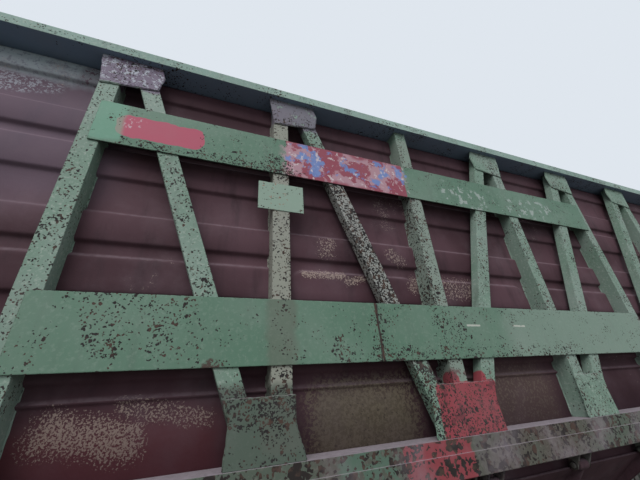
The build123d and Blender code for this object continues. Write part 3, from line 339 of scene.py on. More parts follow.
# Red oxide primer on pressed sheet: matt maroon, clouded by ore dust, and scuffed to pale specks where
# gravel struck the crowns
def redOxidePrimer(name, look):
    made, add = newMaterial(name)
    where = add("TexCoord", {}, 3)
    colour = weathered(add, where, look)
    for spot in look["patches"]:
        cover = paintPatch(add, where, spot)
        colour = add("Mix", {0: cover, 6: colour, 7: fromHex(spot["colour"])}, 2, **rgba)
    # specks of about 3 to 6 mm, a little coarser than the real grit so that they show
    grit = add("TexNoise", grains(where, 1 / 0.0085, 3, 0.7))
    scuffed = add("TexNoise", grains(where, 1 / 0.6, 5, 0.65))
    scuffed = add("MapRange", {0: scuffed, 1: 0.60, 2: 0.78, 4: 0.7}, **eased)
    for spot in look["scuffs"]:
        cover = paintPatch(add, where, spot)
        scuffed = add("Math", {0: scuffed, 1: cover}, **larger)
    reach = add("Math", {0: scuffed, 1: 0.16}, **times)
    specks = add("Math", {0: grit, 1: reach}, **plus)
    specks = add("MapRange", {0: specks, 1: 0.62, 2: 0.66}, **eased)
    shown = add("MapRange", {0: scuffed, 1: 0.03, 2: 0.25}, **eased)
    specks = add("Math", {0: specks, 1: shown}, **times)
    shown = add("Math", {0: specks, 1: 0.75}, **times)
    colour = add("Mix", {0: shown, 6: colour, 7: fromHex(look["speck"])}, 2, **rgba)
    colour = dusted(add, where, colour, look)
    skin = add("TexNoise", grains(where, 1 / 0.012, 4, 0.6))
    skin = add("Math", {0: skin, 1: 0.5}, **times)
    # the sheet is a little buckled between the posts
    buckled = add("TexNoise", grains(where, 1 / 0.35, 1))
    buckled = add("Math", {0: buckled, 1: 4.0}, **times)
    height = add("Math", {0: skin, 1: buckled}, **plus)
    pitted = add("Math", {0: specks, 1: 0.25}, **times)
    height = add("Math", {0: height, 1: pitted}, **plus)
    rounded = add("Bevel", {"Radius": look["edge"]}, samples=4)
    finishedWith(add, colour, 0.78, height, 0.0014, rounded, **{"Specular IOR Level": 0.32})
    return made


maroonTones = {
    "fresh": "#4b3138", "faded": "#60444c", "cloud": 0.7, "runWide": 0.10, "runs": 0.55, "dirt": "#38282e",
    "patches": [], "scuffs": [], "speck": "#bca99c", "dust": 0.7, "dustFrom": 0.2, "bareness": 0.5, "film": 0.24,
    "dustColour": "#85737a", "edge": 0.016,
}
wallPrimer = redOxidePrimer("redOxideWall", {
    **maroonTones,
    "patches": [
        # green under the lip, sprayed on in one pass and worn to specks; its pale tone is partly painted glare
        # that lifts it out of the lip's shade
        patch((-2.95, -1.42, 3.16), (0.72, 0.05, 0.06), (0.03, 0.05), (0.03, 0.1), "#a9bcbe", share=0.9),
        patch((-2.20, -1.42, 3.16), (0.10, 0.05, 0.06), (0.03, 0.06), (0.10, 0.1), "#93a0a2",
              broken=0.42, grain=0.02, share=0.7),
        patch((-2.95, -1.42, 3.16), (0.80, 0.05, 0.06), (0.03, 0.05), (0.10, 0.1), "#5f6a74",
              broken=0.55, grain=0.02, share=0.6),
        # its overspray in a pale streak
        patch((-2.62, -1.42, 2.995), (0.30, 0.03, 0.006), (0.015, 0.05), (0.06, 0.10), "#b7bfc6",
              broken=0.50, grain=0.012, share=0.8),
        patch((-2.40, -1.42, 2.955), (0.14, 0.03, 0.006), (0.01, 0.04), (0.05, 0.10), "#b7bfc6",
              broken=0.52, grain=0.012, share=0.8, lean=14),
        # a pale violet veil over the first bay below it is painted glare
        patch((-2.60, -1.42, 2.70), (0.50, 0.05, 0.25), (0.05, 0.30), (0.2, 0.3), "#8a7a8c", share=0.4),
        # olive dust packed on the lowest sheet
        patch((-0.54, -1.41, 1.20), (0.16, 0.03, 0.07), (0.04, 0.14), (0.1, 0.12), "#706755", share=0.9),
        patch((-0.54, -1.41, 1.25), (0.24, 0.03, 0.09), (0.04, 0.10), (0.1, 0.12), "#857a68",
              broken=0.48, grain=0.012, share=0.7),
        patch((-0.54, -1.41, 1.22), (0.22, 0.03, 0.08), (0.04, 0.10), (0.1, 0.12), "#3f3430",
              broken=0.60, grain=0.016, share=0.6),
        patch((0.5, -1.41, 1.25), (0.25, 0.03, 0.06), (0.04, 0.15), (0.1, 0.15), "#75635c", share=0.6),
        patch((0.5, -1.41, 1.25), (0.25, 0.03, 0.06), (0.04, 0.15), (0.1, 0.15), "#86786c",
              broken=0.54, grain=0.014, share=0.6),
        # the lowest sheet is redder at the left
        patch((-1.62, -1.41, 1.17), (0.28, 0.03, 0.03), (0.05, 0.15), (0.1, 0.2), "#713f45", share=0.85),
    ],
    "scuffs": [
        patch((-1.70, -1.41, 1.27), (0.14, 0.03, 0.015), (0.01, 0.08), (0.10, 0.10), lean=-10),
        patch((-1.45, -1.41, 1.335), (0.16, 0.03, 0.006), (0.01, 0.04), (0.05, 0.10), lean=-12, share=0.7),
        patch((-0.72, -1.43, 1.975), (0.12, 0.03, 0.003), (0.008, 0.03), (0.05, 0.10)),
        patch((-0.50, -1.43, 1.95), (0.07, 0.03, 0.003), (0.008, 0.03), (0.05, 0.10), lean=14, share=0.8),
        patch((-0.69, -1.43, 2.15), (0.015, 0.03, 0.03), (0.01, 0.06), (0.08, 0.08), share=0.6),
        patch((-0.09, -1.43, 1.95), (0.03, 0.03, 0.008), (0.01, 0.05), (0.06, 0.10), lean=40, share=0.7),
        patch((-0.20, -1.43, 2.13), (0.05, 0.03, 0.008), (0.01, 0.05), (0.08, 0.08), lean=-35, share=0.5),
        patch((0.33, -1.43, 1.94), (0.14, 0.03, 0.03), (0.01, 0.08), (0.08, 0.10), share=0.6),
    ],
})
slopePrimer = redOxidePrimer("redOxideSheets", {**maroonTones, "film": 0.45})
print("red oxide primer")


# Bituminous paint on the underframe: near black and slightly soft, so dust clings and rust blooms through
def bitumenPaint(name, look):
    made, add = newMaterial(name)
    where = add("TexCoord", {}, 3)
    colour = weathered(add, where, look)
    bloom = add("TexNoise", grains(where, 1 / 0.09, 6, 0.65))
    rounded = add("Bevel", {"Radius": look["edge"]}, samples=4)
    knocks = add("Math", {0: edgeShare(add, rounded), 1: 0.08}, **times)
    level = add("Math", {0: bloom, 1: knocks}, **plus)
    rust = add("MapRange", {0: level, 1: look["rustAt"], 2: look["rustAt"] + 0.08}, **eased)
    colour = add("Mix", {0: rust, 6: colour, 7: fromHex(look["rust"])}, 2, **rgba)
    colour = dusted(add, where, colour, look)
    skin = add("TexNoise", grains(where, 1 / 0.01, 4, 0.6))
    raised = add("Math", {0: rust, 1: 0.6}, **times)
    height = add("Math", {0: skin, 1: raised}, **plus)
    rough = add("MapRange", {0: rust, 3: look["matt"], 4: 0.9})
    finishedWith(add, colour, rough, height, 0.0012, rounded, **{"Specular IOR Level": 0.4})
    return made


blackTones = {
    "fresh": "#2c2a29", "faded": "#3a3633", "cloud": 0.5, "runWide": 0.12, "runs": 0.3, "dirt": "#4a413a",
    "rust": "#5b4034", "rustAt": 0.56, "dust": 0.85, "bareness": 0.4, "film": 0.4, "dustColour": "#7d736b",
    "matt": 0.6, "edge": 0.005,
}
underframePaint = bitumenPaint("bitumenUnderframe", blackTones)
brakePaint = bitumenPaint("bitumenBrakes", {
    **blackTones, "fresh": "#1f1f20", "faded": "#2b2a2a", "rustAt": 0.61, "film": 0.3, "matt": 0.5,
})


# Sand-cast steel left to rust: pebbled skin, brown-grey with brake dust, darker where oil has run
def castSteel(name, look):
    made, add = newMaterial(name)
    where = add("TexCoord", {}, 3)
    colour = weathered(add, where, look)
    oil = add("TexNoise", grains(where, 1 / 0.12, 5, 0.6))
    oil = add("MapRange", {0: oil, 1: 0.56, 2: 0.66, 4: 0.7}, **eased)
    colour = add("Mix", {0: oil, 6: colour, 7: fromHex(look["oil"])}, 2, **rgba)
    colour = dusted(add, where, colour, look)
    skin = add("TexNoise", grains(where, 1 / 0.006, 3, 0.6))
    rounded = add("Bevel", {"Radius": look["edge"]}, samples=4)
    rough = add("MapRange", {0: oil, 2: 0.7, 3: 0.85, 4: 0.45})
    finishedWith(add, colour, rough, skin, 0.0015, rounded, **{"Specular IOR Level": 0.4})
    return made


castTones = {
    "fresh": "#453c37", "faded": "#5d463b", "cloud": 0.3, "runWide": 0.10, "runs": 0.25, "dirt": "#352d29",
    "oil": "#262220", "dust": 0.8, "bareness": 0.4, "film": 0.3, "dustColour": "#7f746b", "edge": 0.008,
}
bogieSteel = castSteel("castSteelBogie", castTones)
couplerSteel = castSteel("castSteelCoupler", {**castTones, "fresh": "#4a403a", "faded": "#6a4b3b"})


# Rolled wheel steel: rusty web, greasy hub, and a tread that the rail keeps bright
def wheelSteel(name, look):
    made, add = newMaterial(name)
    where = add("TexCoord", {}, 3)
    along, across, height = (add("SeparateXYZ", {0: where}, axis) for axis in range(3))
    # distance from the nearest axle: they lie evenly about the middles of both bogies
    away = add("Math", {0: along}, operation="ABSOLUTE")
    away = add("Math", {0: away, 1: wagon["bogieX"]}, **minus)
    away = add("Math", {0: away}, operation="ABSOLUTE")
    away = add("Math", {0: away, 1: wagon["halfBase"]}, **minus)
    rise = add("Math", {0: height, 1: wagon["axleZ"]}, **minus)
    flat = add("CombineXYZ", {0: away, 1: rise})
    radius = add("VectorMath", {0: flat}, 1, operation="LENGTH")
    across = add("Math", {0: across}, operation="ABSOLUTE")
    low, high = look["rolled"]
    rolled = add("MapRange", {0: radius, 1: low, 2: high}, **eased)
    low, high = look["byFlange"]
    inside = add("MapRange", {0: across, 1: low, 2: high})
    rolled = add("Math", {0: rolled, 1: inside}, **times)
    low, high = look["byOuterFace"]
    inside = add("MapRange", {0: across, 1: low, 2: high, 3: 1, 4: 0})
    rolled = add("Math", {0: rolled, 1: inside}, **times)
    colour = weathered(add, where, look)
    grease = add("MapRange", {0: radius, 1: 0.12, 2: 0.24, 3: 0.8, 4: 0}, **eased)
    colour = add("Mix", {0: grease, 6: colour, 7: fromHex(look["grease"])}, 2, **rgba)
    colour = add("Mix", {0: rolled, 6: colour, 7: fromHex(look["bright"])}, 2, **rgba)
    rough = add("MapRange", {0: rolled, 3: 0.85, 4: 0.28})
    skin = add("TexNoise", grains(where, 1 / 0.008, 3, 0.6))
    rounded = add("Bevel", {"Radius": look["edge"]}, samples=4)
    finishedWith(add, colour, rough, skin, 0.0006, rounded, Metallic=rolled)
    return made


wheelFinish = wheelSteel("rolledWheelSteel", {
    "fresh": "#5a4235", "faded": "#40332c", "cloud": 0.15, "runWide": 0.15, "runs": 0.2, "dirt": "#332923",
    "grease": "#221e1c", "bright": "#a9a7a3", "edge": 0.004,
    # metres from the axle, and from the wagon's middle, over which the bright tread begins or ends
    "rolled": (0.466, 0.470), "byFlange": (0.735, 0.742), "byOuterFace": (0.832, 0.842),
})


# Rod ground and hard-chromed: bright, under a thin film of oil and dust
def chromedRod(name, look):
    made, add = newMaterial(name)
    where = add("TexCoord", {}, 3)
    film = add("TexNoise", grains(where, 1 / 0.04, 4))
    share = add("MapRange", {0: film, 1: 0.45, 2: 0.7, 4: 0.7}, **eased)
    colour = add("Mix", {0: share, 6: fromHex(look["steel"]), 7: fromHex(look["film"])}, 2, **rgba)
    rough = add("MapRange", {0: film, 1: 0.4, 2: 0.7, 3: 0.25, 4: 0.55})
    rounded = add("Bevel", {"Radius": look["edge"]}, samples=4)
    finishedWith(add, colour, rough, film, 0.0002, rounded, Metallic=0.85)
    return made


rodSteel = chromedRod("chromedRodSteel", {"steel": "#8d8b88", "film": "#4b4038", "edge": 0.002})

nodeFinishes = {
    # a CAD node's name begins with: its finish
    "side_truss": trussEnamel, "side_bands": bandEnamel, "top_frame": lipEnamel, "side_sill": sillEnamel,
    "side_wall": wallPrimer, "end_slope": slopePrimer, "saddle": slopePrimer, "throat_sheet": slopePrimer,
    "hatch": slopePrimer, "centre_sill": underframePaint, "body_bolster": underframePaint,
    "end_sill": underframePaint, "end_posts": trussEnamel, "end_beam": trussEnamel, "platform": deckEnamel,
    "ladder": underframePaint, "hand_wheel": brakePaint,
    "cylinder_bracket": underframePaint, "cylinder_barrel": brakePaint, "cylinder_rod": rodSteel,
    "brake_cylinder": brakePaint, "air_reservoir": brakePaint, "hand_brake": brakePaint,
    "brake_gear": bogieSteel, "coupler": couplerSteel, "bogie": bogieSteel, "axle_boxes": bogieSteel,
    "wheels": wheelFinish, "axle": wheelFinish,
}
for name, node in nodes.items():
    prefix = max((p for p in nodeFinishes if name.startswith(p)), key=len)
    node.data.materials.clear()
    node.data.materials.append(nodeFinishes[prefix])
print("finishes given to the CAD nodes")


def newPiece(mesh, name, body, finish, smooth=False):
    # turns a bmesh into a piece that rides on a body
    data = bpy.data.meshes.new(name)
    mesh.to_mesh(data)
    mesh.free()
    for face in data.polygons:
        face.use_smooth = smooth
    data.materials.append(finish)
    piece = bpy.data.objects.new(name, data)
    scene.collection.objects.link(piece)
    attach(piece, body)
    return piece


def closeRings(mesh, verts, segments):
    # skins the rings that lie one after another in a list, and caps both ends
    last = len(verts) - segments
    for start in range(0, last, segments):
        for k in range(segments):
            a, b = start + k, start + (k + 1) % segments
            mesh.faces.new((verts[a], verts[b], verts[b + segments], verts[a + segments]))
    mesh.faces.new(list(reversed(verts[:segments])))
    mesh.faces.new(verts[last:])


def addTube(mesh, line, radius, segments=6, lumps=0.0):
    # round bar or bead along a line of points, closed at both ends
    rings = []
    across = None
    for i, spot in enumerate(line):
        ahead = (line[min(i + 1, len(line) - 1)] - line[max(i - 1, 0)]).normalized()
        across = (ahead.orthogonal() if across is None else across - ahead * across.dot(ahead)).normalized()
        upward = ahead.cross(across)
        size = radius * (1 + lumps * noise.noise(spot * 60))
        for k in range(segments):
            turn = 2 * math.pi * k / segments
            rings.append(mesh.verts.new(spot + (across * math.cos(turn) + upward * math.sin(turn)) * size))
    closeRings(mesh, rings, segments)


def addTurned(mesh, spot, axis, profile, segments):
    # closed solid about an axis, from a profile of heights and radii
    place = Matrix.Translation(spot) @ Vector(axis).to_track_quat("Z", "Y").to_matrix().to_4x4()
    rings = []
    for height, radius in profile:
        for k in range(segments):
            turn = 2 * math.pi * k / segments
            point = Vector((radius * math.cos(turn), radius * math.sin(turn), height))
            rings.append(mesh.verts.new(place @ point))
    closeRings(mesh, rings, segments)


def addDisc(mesh, spot, axis, radius, thick, segments=16, top=None):
    addTurned(mesh, Vector(spot), axis, [(0, radius), (thick, radius if top is None else top)], segments)


boltForm = {
    # heights and radii in widths of the head, then the number of sides
    "washer": ([(0, 0.64), (0.10, 0.64)], 14),
    "hexagon": ([(0.10, 0.54), (0.56, 0.54), (0.64, 0.44)], 6),
    "thread": ([(0.60, 0.26), (0.82, 0.22)], 10),
}


def addBolt(mesh, spot, axis, width):
    for profile, segments in boltForm.values():
        addTurned(mesh, Vector(spot), axis, [(h * width, r * width) for h, r in profile], segments)


def addPlate(mesh, low, high, chamfer=0.0):
    # flat plate between two corners, its edges chamfered
    size = Vector(high) - Vector(low)
    place = Matrix.Translation((Vector(high) + Vector(low)) / 2)
    made = bmesh.ops.create_cube(mesh, size=1, matrix=place @ Matrix.Diagonal((*size, 1)))
    if chamfer:
        edges = {edge for vert in made["verts"] for edge in vert.link_edges}
        bmesh.ops.bevel(mesh, geom=list(edges), offset=chamfer, segments=1, affect="EDGES")


def divided(points, step):
    # points along straight runs, about one step apart
    line = []
    for a, b in zip(points, points[1:]):
        count = max(1, round((b - a).length / step))
        line += [a.lerp(b, k / count) for k in range(count)]
    return line + [points[-1]]


# Side walls as pressed: long ridges that run through behind the posts, gentle on top and steep below, and
# one that stops round-cornered beside the posts of the two middle bays, in a slightly buckled sheet
pressed = {
    "thick": 0.012, "out": 0.021, "above": 0.032, "below": 0.022, "low": 1.126, "high": 3.287,
    "halfLow": 2.10025, "run": 1.125, "margin": 0.045, "buckle": 0.004, "cover": 0.0015,
    # columns: half the strip behind a post that has none, then fine ones, and coarse ones all along
    "plain": 0.05, "fine": 0.009, "fineCount": 15, "coarse": 0.12,
    # levels up a ridge's lower edge, up its upper edge, and round a corner
    "lowerSteps": 5, "upperSteps": 6, "cornerSteps": 9,
    "rows": [
        # low, high, gap beside a post's middle (0 runs through), corner
        (1.372, 1.412, 0, 0), (1.446, 1.640, 0, 0), (1.800, 2.008, 0.055, 0.11), (2.050, 2.240, 0, 0),
        (2.420, 2.640, 0, 0), (2.676, 2.872, 0, 0), (3.060, 3.226, 0, 0),
    ],
}
postRow = [k * wagon["postPitch"] for k in range(-4, 5)]


def halfLength(z):
    return pressed["halfLow"] + (z - pressed["low"]) * pressed["run"]


def ridgeHeight(x, z):
    # how far the sheet stands out here, from the nearest ridge's edges
    fromPost = min(abs(x - post) for post in postRow)
    fromSlope = halfLength(z) - pressed["margin"] - abs(x)
    for low, high, gap, corner in pressed["rows"]:
        if not low < z < high:
            continue
        # only the two middle bays have the ridge that stops
        stopped = gap and abs(x) < wagon["postPitch"]
        toEnd = min(fromSlope, fromPost - gap) if stopped else fromSlope
        reach = min(toEnd / pressed["below"], (z - low) / pressed["below"], (high - z) / pressed["above"])
        if stopped and toEnd < corner and high - z < corner:
            inside = corner - math.hypot(corner - toEnd, corner - (high - z))
            reach = min(reach, inside / pressed["above"])
        reach = min(max(reach, 0), 1)
        return pressed["out"] * reach * reach * (3 - 2 * reach)
    return 0.0


levels = {pressed["low"], pressed["high"]}
for low, high, gap, corner in pressed["rows"]:
    count = pressed["lowerSteps"]
    levels |= {round(low + pressed["below"] * k / count, 5) for k in range(count + 1)}
    count = pressed["upperSteps"]
    levels |= {round(high - pressed["above"] * k / count, 5) for k in range(count + 1)}
    if corner:
        count = pressed["cornerSteps"]
        levels |= {round(high - pressed["above"] - corner * k / count, 5) for k in range(1, count + 1)}
levels = sorted(levels)
columns = set()
for post in postRow:
    for k in range(pressed["fineCount"]):
        reach = pressed["plain"] + pressed["fine"] * k
        columns |= {round(post - reach, 5), round(post + reach, 5)}
span = halfLength(pressed["high"])
columns |= {round(-span + k * pressed["coarse"], 5) for k in range(1, int(2 * span / pressed["coarse"]))}
columns = sorted(columns)
# columns that nearly meet are thinned out
columns = [x for k, x in enumerate(columns) if k == 0 or x - columns[k - 1] > pressed["fine"] * 0.6]
for side, way in sides.items():
    mesh = bmesh.new()
    sheets = []
    for back in (0, pressed["thick"]):
        grid = []
        for z in levels:
            limit = halfLength(z)
            line = []
            for x in (-span, *columns, span):
                # the columns beyond the slope close up on its line
                x = min(max(x, -limit), limit)
                bay = abs(math.sin(math.pi * x / wagon["postPitch"]))
                buckle = pressed["buckle"] * bay * noise.noise(Vector((x * 1.7, way * 3, z * 2.3)))
                proud = ridgeHeight(x, z) + min(buckle, pressed["cover"])
                if back:
                    # the inside follows less far, so that the feet of posts and braces stay covered
                    proud = min(proud, back - pressed["cover"]) - back
                line.append(mesh.verts.new((x, way * (wagon["wallOut"] + proud), z)))
            grid.append(line)
        sheets.append(grid)
    outer, inner = sheets
    for grid, flip in ((outer, way > 0), (inner, way < 0)):
        for lower, upper in zip(grid, grid[1:]):
            for k in range(len(lower) - 1):
                corners = (lower[k], lower[k + 1], upper[k + 1], upper[k])
                mesh.faces.new(reversed(corners) if flip else corners)
    for k in range(len(outer[0]) - 1):
        mesh.faces.new((outer[0][k], outer[0][k + 1], inner[0][k + 1], inner[0][k]))
        mesh.faces.new((outer[-1][k + 1], outer[-1][k], inner[-1][k], inner[-1][k + 1]))
    for j in range(len(levels) - 1):
        mesh.faces.new((outer[j + 1][0], outer[j][0], inner[j][0], inner[j + 1][0]))
        mesh.faces.new((outer[j][-1], outer[j + 1][-1], inner[j + 1][-1], inner[j][-1]))
    # the columns that closed up become one
    bmesh.ops.remove_doubles(mesh, verts=mesh.verts, dist=0.00005)
    bmesh.ops.recalc_face_normals(mesh, faces=mesh.faces)
    wall = newPiece(mesh, f"pressedWall_{side}", "body", wallPrimer, True)
    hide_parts(f"side_wall_{side}")
print("pressed side walls,", len(levels), "levels and", len(columns), "columns")


# Coil springs, one inside the other, in place of the plain cylinders
coil = {
    "along": (-0.136, 0.0, 0.136), "across": (-0.068, 0.068), "trackY": 1.018, "low": 0.345, "high": 0.590,
    "turns": 5.5, "steps": 20, "closed": 0.09,
    # radii of the wire and of the coil, and the coil's hand
    "pairs": ((0.012, 0.060, 1), (0.008, 0.034, -1)),
}
for end, way in ends.items():
    mesh = bmesh.new()
    for side in sides.values():
        for x in coil["along"]:
            for y in coil["across"]:
                foot = Vector((way * wagon["bogieX"] + x, side * coil["trackY"] + y, 0))
                for wire, outer, hand in coil["pairs"]:
                    line = []
                    count = int(coil["turns"] * coil["steps"])
                    for k in range(count + 1):
                        # the end turns lie flat, closed and ground
                        rise = (k / count - coil["closed"]) / (1 - 2 * coil["closed"])
                        z = coil["low"] + wire + (coil["high"] - coil["low"] - 2 * wire) * min(max(rise, 0), 1)
                        turn = hand * 2 * math.pi * k / coil["steps"]
                        reach = outer - wire
                        line.append(foot + Vector((reach * math.cos(turn), reach * math.sin(turn), z)))
                    addTube(mesh, line, wire, 8)
    springs = newPiece(mesh, f"coilSprings_{end}", f"bogie_{end}", bogieSteel, True)
    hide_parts(f"bogie_springs_{end}")
print("coil springs")


# Fillet welds round the gussets and down the posts, laid by hand, so that the bead is uneven
weld = {
    "radius": 0.0045, "step": 0.013, "lumps": 0.7, "off": 0.002, "offSill": 0.003, "lastGusset": 3,
    "footLow": 1.13, "footHigh": 3.222, "footOff": 0.001, "footStep": 0.02,
}
# half widths at the foot, the waist and the top, beside a brace or not, and their heights over the sill
gussetFoot = {
    "braced": (0.228, 0.215, 0.228), "plainLeft": (0.070, 0.0565, 0.0565),
    "plainRight": (0.100, 0.0565, 0.0565), "heights": (weld["offSill"], 0.135, 0.237),
}
# along from the post towards the brace, and down from the chord
gussetHead = [(-0.077, 0.0), (-0.042, 0.228), (0.242, 0.196), (0.262, 0.078), (0.236, 0.0)]
for side, way in sides.items():
    mesh = bmesh.new()
    face = way * (wagon["postFace"] + weld["off"])
    last = weld["lastGusset"]
    for k in range(-last, last + 1):
        x = k * wagon["postPitch"]
        left = gussetFoot["braced" if -last < k <= 0 else "plainLeft"]
        right = gussetFoot["braced" if 0 <= k < last else "plainRight"]
        heights = [wagon["sillTop"] + up for up in gussetFoot["heights"]]
        outline = [(x - reach, z) for reach, z in zip(left, heights)]
        outline += [(x + reach, z) for reach, z in reversed(list(zip(right, heights)))]
        outlines = [outline]
        if k:
            lean = -1 if k > 0 else 1
            top = wagon["chordLow"] - weld["off"]
            outlines.append([(x + lean * along, top - down) for along, down in gussetHead])
        for points in outlines:
            line = divided([Vector((px, face, pz)) for px, pz in points], weld["step"])
            addTube(mesh, line, weld["radius"], 6, weld["lumps"])
    for post in postRow:
        for edge in (-1, 1):
            x = post + edge * wagon["postWidth"] / 2
            y = way * (wagon["wallOut"] + weld["footOff"])
            foot = [Vector((x, y, weld["footLow"])), Vector((x, y, weld["footHigh"]))]
            addTube(mesh, divided(foot, weld["footStep"]), weld["radius"], 6, weld["lumps"])
    newPiece(mesh, f"weldBeads_{side}", "body", trussEnamel, True)

# Butt weld where the middle band was joined, ground down and rusting
seam = {
    "low": (-0.474, 1.489), "high": (-0.462, 1.785), "radius": 0.0035, "proud": 0.0012, "step": 0.010,
    "lumps": 0.9,
}
mesh = bmesh.new()
y = -wagon["faceOut"] + seam["proud"]
points = [Vector((x, y, z)) for x, z in (seam["low"], seam["high"])]
addTube(mesh, divided(points, seam["step"]), seam["radius"], 6, seam["lumps"])
newPiece(mesh, "bandSeam", "body", underframePaint, True)
print("welds")


# Hinge pins of the hatches: a washer and a split pin at each end of each pin
hinge = {
    "along": (-1.45, -0.78, -0.092, 0.092, 0.78, 1.45), "y": 1.462, "z": 0.905, "cheek": 0.056,
    "washer": 0.023, "washerThick": 0.0022, "splitAt": 0.0605, "splitWire": 0.0018, "splitHalf": 0.021,
    # the bent legs of a split pin, sideways and up from its lower end, and their share of the wire
    "legBends": ((0, 0), (0.006, -0.001), (0.014, 0.008)), "legShare": 0.7,
}
for side, way in sides.items():
    mesh = bmesh.new()
    for x in hinge["along"]:
        for edge in (-1, 1):
            spot = Vector((x + edge * hinge["cheek"], way * hinge["y"], hinge["z"]))
            addDisc(mesh, spot, (edge, 0, 0), hinge["washer"], hinge["washerThick"], 24)
            middle = Vector((x + edge * hinge["splitAt"], way * hinge["y"], hinge["z"]))
            half = Vector((0, 0, hinge["splitHalf"]))
            addTube(mesh, [middle - half, middle + half], hinge["splitWire"], 8)
            for lean in (-1, 1):
                leg = [middle - half + Vector((0, lean * out, up)) for out, up in hinge["legBends"]]
                addTube(mesh, leg, hinge["splitWire"] * hinge["legShare"], 6)
    newPiece(mesh, f"hingeWashers_{side}", "body", underframePaint)
print("hinge pins")


# Axle box covers, with four bolts each
cover = {
    "y": 1.146, "radius": 0.096, "thick": 0.006, "cap": 0.050, "capTop": 0.046, "capThick": 0.008,
    "boltRing": 0.104, "bolt": 0.026,
}
for end, way in ends.items():
    mesh = bmesh.new()
    for side in sides.values():
        for x in (-wagon["halfBase"], wagon["halfBase"]):
            centre = Vector((way * wagon["bogieX"] + x, side * cover["y"], wagon["axleZ"]))
            outward = Vector((0, side, 0))
            addDisc(mesh, centre, outward, cover["radius"], cover["thick"], 40)
            spot = centre + outward * cover["thick"]
            addDisc(mesh, spot, outward, cover["cap"], cover["capThick"], 28, cover["capTop"])
            for k in range(4):
                turn = math.pi / 4 + k * math.pi / 2
                spot = centre + Vector((math.cos(turn), 0, math.sin(turn))) * cover["boltRing"]
                addBolt(mesh, spot, outward, cover["bolt"])
    newPiece(mesh, f"boxCovers_{end}", f"bogie_{end}", bogieSteel)
print("axle box covers")


# Bolts round the flanges of the hatch cylinders and the brake cylinder
barrel = {
    "pivotY": 0.285, "pivotZ": 0.790, "lean": math.radians(-23.07), "reach": 0.6100, "ring": 0.0805,
    "bolt": 0.010, "count": 10,
}
for side, way in sides.items():
    mesh = bmesh.new()
    outward = Vector((0, way * math.cos(barrel["lean"]), math.sin(barrel["lean"])))
    upward = Vector((1, 0, 0)).cross(outward)
    centre = Vector((0, way * barrel["pivotY"], barrel["pivotZ"])) + outward * barrel["reach"]
    for k in range(barrel["count"]):
        turn = 2 * math.pi * k / barrel["count"]
        spot = centre + (Vector((1, 0, 0)) * math.cos(turn) + upward * math.sin(turn)) * barrel["ring"]
        addBolt(mesh, spot, outward, barrel["bolt"])
    newPiece(mesh, f"barrelBolts_{side}", f"barrel_{side}", brakePaint)
flange = {"x": -3.960, "z": 1.410, "ring": 0.189, "bolt": 0.018, "count": 12}
mesh = bmesh.new()
for k in range(flange["count"]):
    turn = 2 * math.pi * k / flange["count"]
    spot = (flange["x"], flange["ring"] * math.cos(turn), flange["z"] + flange["ring"] * math.sin(turn))
    addBolt(mesh, spot, (1, 0, 0), flange["bolt"])
newPiece(mesh, "brakeCylinderBolts", "body", brakePaint)
print("cylinder bolts")


# Brake pipe of bare tube along the centre sill, with a cock at each end
pipe = {
    "radius": 0.017, "z": 0.990, "endOut": 0.05, "endY": -0.330,
    # one half's control points, along from the headstock and across: on both sides of each bend, so that
    # the runs between stay straight
    "half": ((0.05, -0.330), (-0.22, -0.330), (-0.42, -0.330), (-0.60, -0.208), (-0.82, -0.208)),
    "clipPitch": 1.1, "clipInset": 0.9, "clipHalf": 0.015, "clipY": (-0.232, -0.174), "clipUp": 0.024,
    "chamfer": 0.003,
}
cock = {
    "back": 0.012, "radius": 0.026, "long": 0.085, "noseAt": 0.073, "noseDip": -0.5, "noseRadius": 0.024,
    "noseTip": 0.021, "noseLong": 0.045, "stem": (0.03, 0.018), "stemRadius": 0.013, "stemHigh": 0.024,
    "handle": ((0.03, 0, 0.040), (0.05, -0.04, 0.052), (0.06, -0.12, 0.052)), "handleRadius": 0.007,
}
headstock = wagon["headstockX"]
half = [(headstock + along, y) for along, y in pipe["half"]]
route = [(-x, y) for x, y in half] + list(reversed(half))
curve = bpy.data.curves.new("brakePipe", "CURVE")
curve.dimensions = "3D"
curve.bevel_depth = pipe["radius"]
curve.bevel_resolution = 3
curve.use_fill_caps = True
run = curve.splines.new("NURBS")
run.points.add(len(route) - 1)
for point, (x, y) in zip(run.points, route):
    point.co = (x, y, pipe["z"], 1)
run.order_u = 3
run.use_endpoint_u = True
curve.materials.append(brakePaint)
tube = bpy.data.objects.new("brakePipe", curve)
scene.collection.objects.link(tube)
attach(tube, "body")
mesh = bmesh.new()
for way in ends.values():
    spot = Vector((way * (headstock + pipe["endOut"]), pipe["endY"], pipe["z"]))
    body = spot - Vector((way * cock["back"], 0, 0))
    addDisc(mesh, body, (way, 0, 0), cock["radius"], cock["long"], 20)
    nose = spot + Vector((way * cock["noseAt"], 0, 0))
    axis = (way, 0, cock["noseDip"])
    addDisc(mesh, nose, axis, cock["noseRadius"], cock["noseLong"], 16, cock["noseTip"])
    out, up = cock["stem"]
    addDisc(mesh, spot + Vector((way * out, 0, up)), (0, 0, 1), cock["stemRadius"], cock["stemHigh"], 12)
    handle = [spot + Vector((way * out, y, up)) for out, y, up in cock["handle"]]
    addTube(mesh, handle, cock["handleRadius"], 8)
reach = headstock - pipe["clipInset"]
clips = int(2 * reach / pipe["clipPitch"])
for k in range(clips + 1):
    x = -reach + k * 2 * reach / clips
    low = (x - pipe["clipHalf"], pipe["clipY"][0], pipe["z"] - pipe["clipUp"])
    high = (x + pipe["clipHalf"], pipe["clipY"][1], pipe["z"] + pipe["clipUp"])
    addPlate(mesh, low, high, pipe["chamfer"])
newPiece(mesh, "brakeCocks", "body", brakePaint)
print("brake pipe")


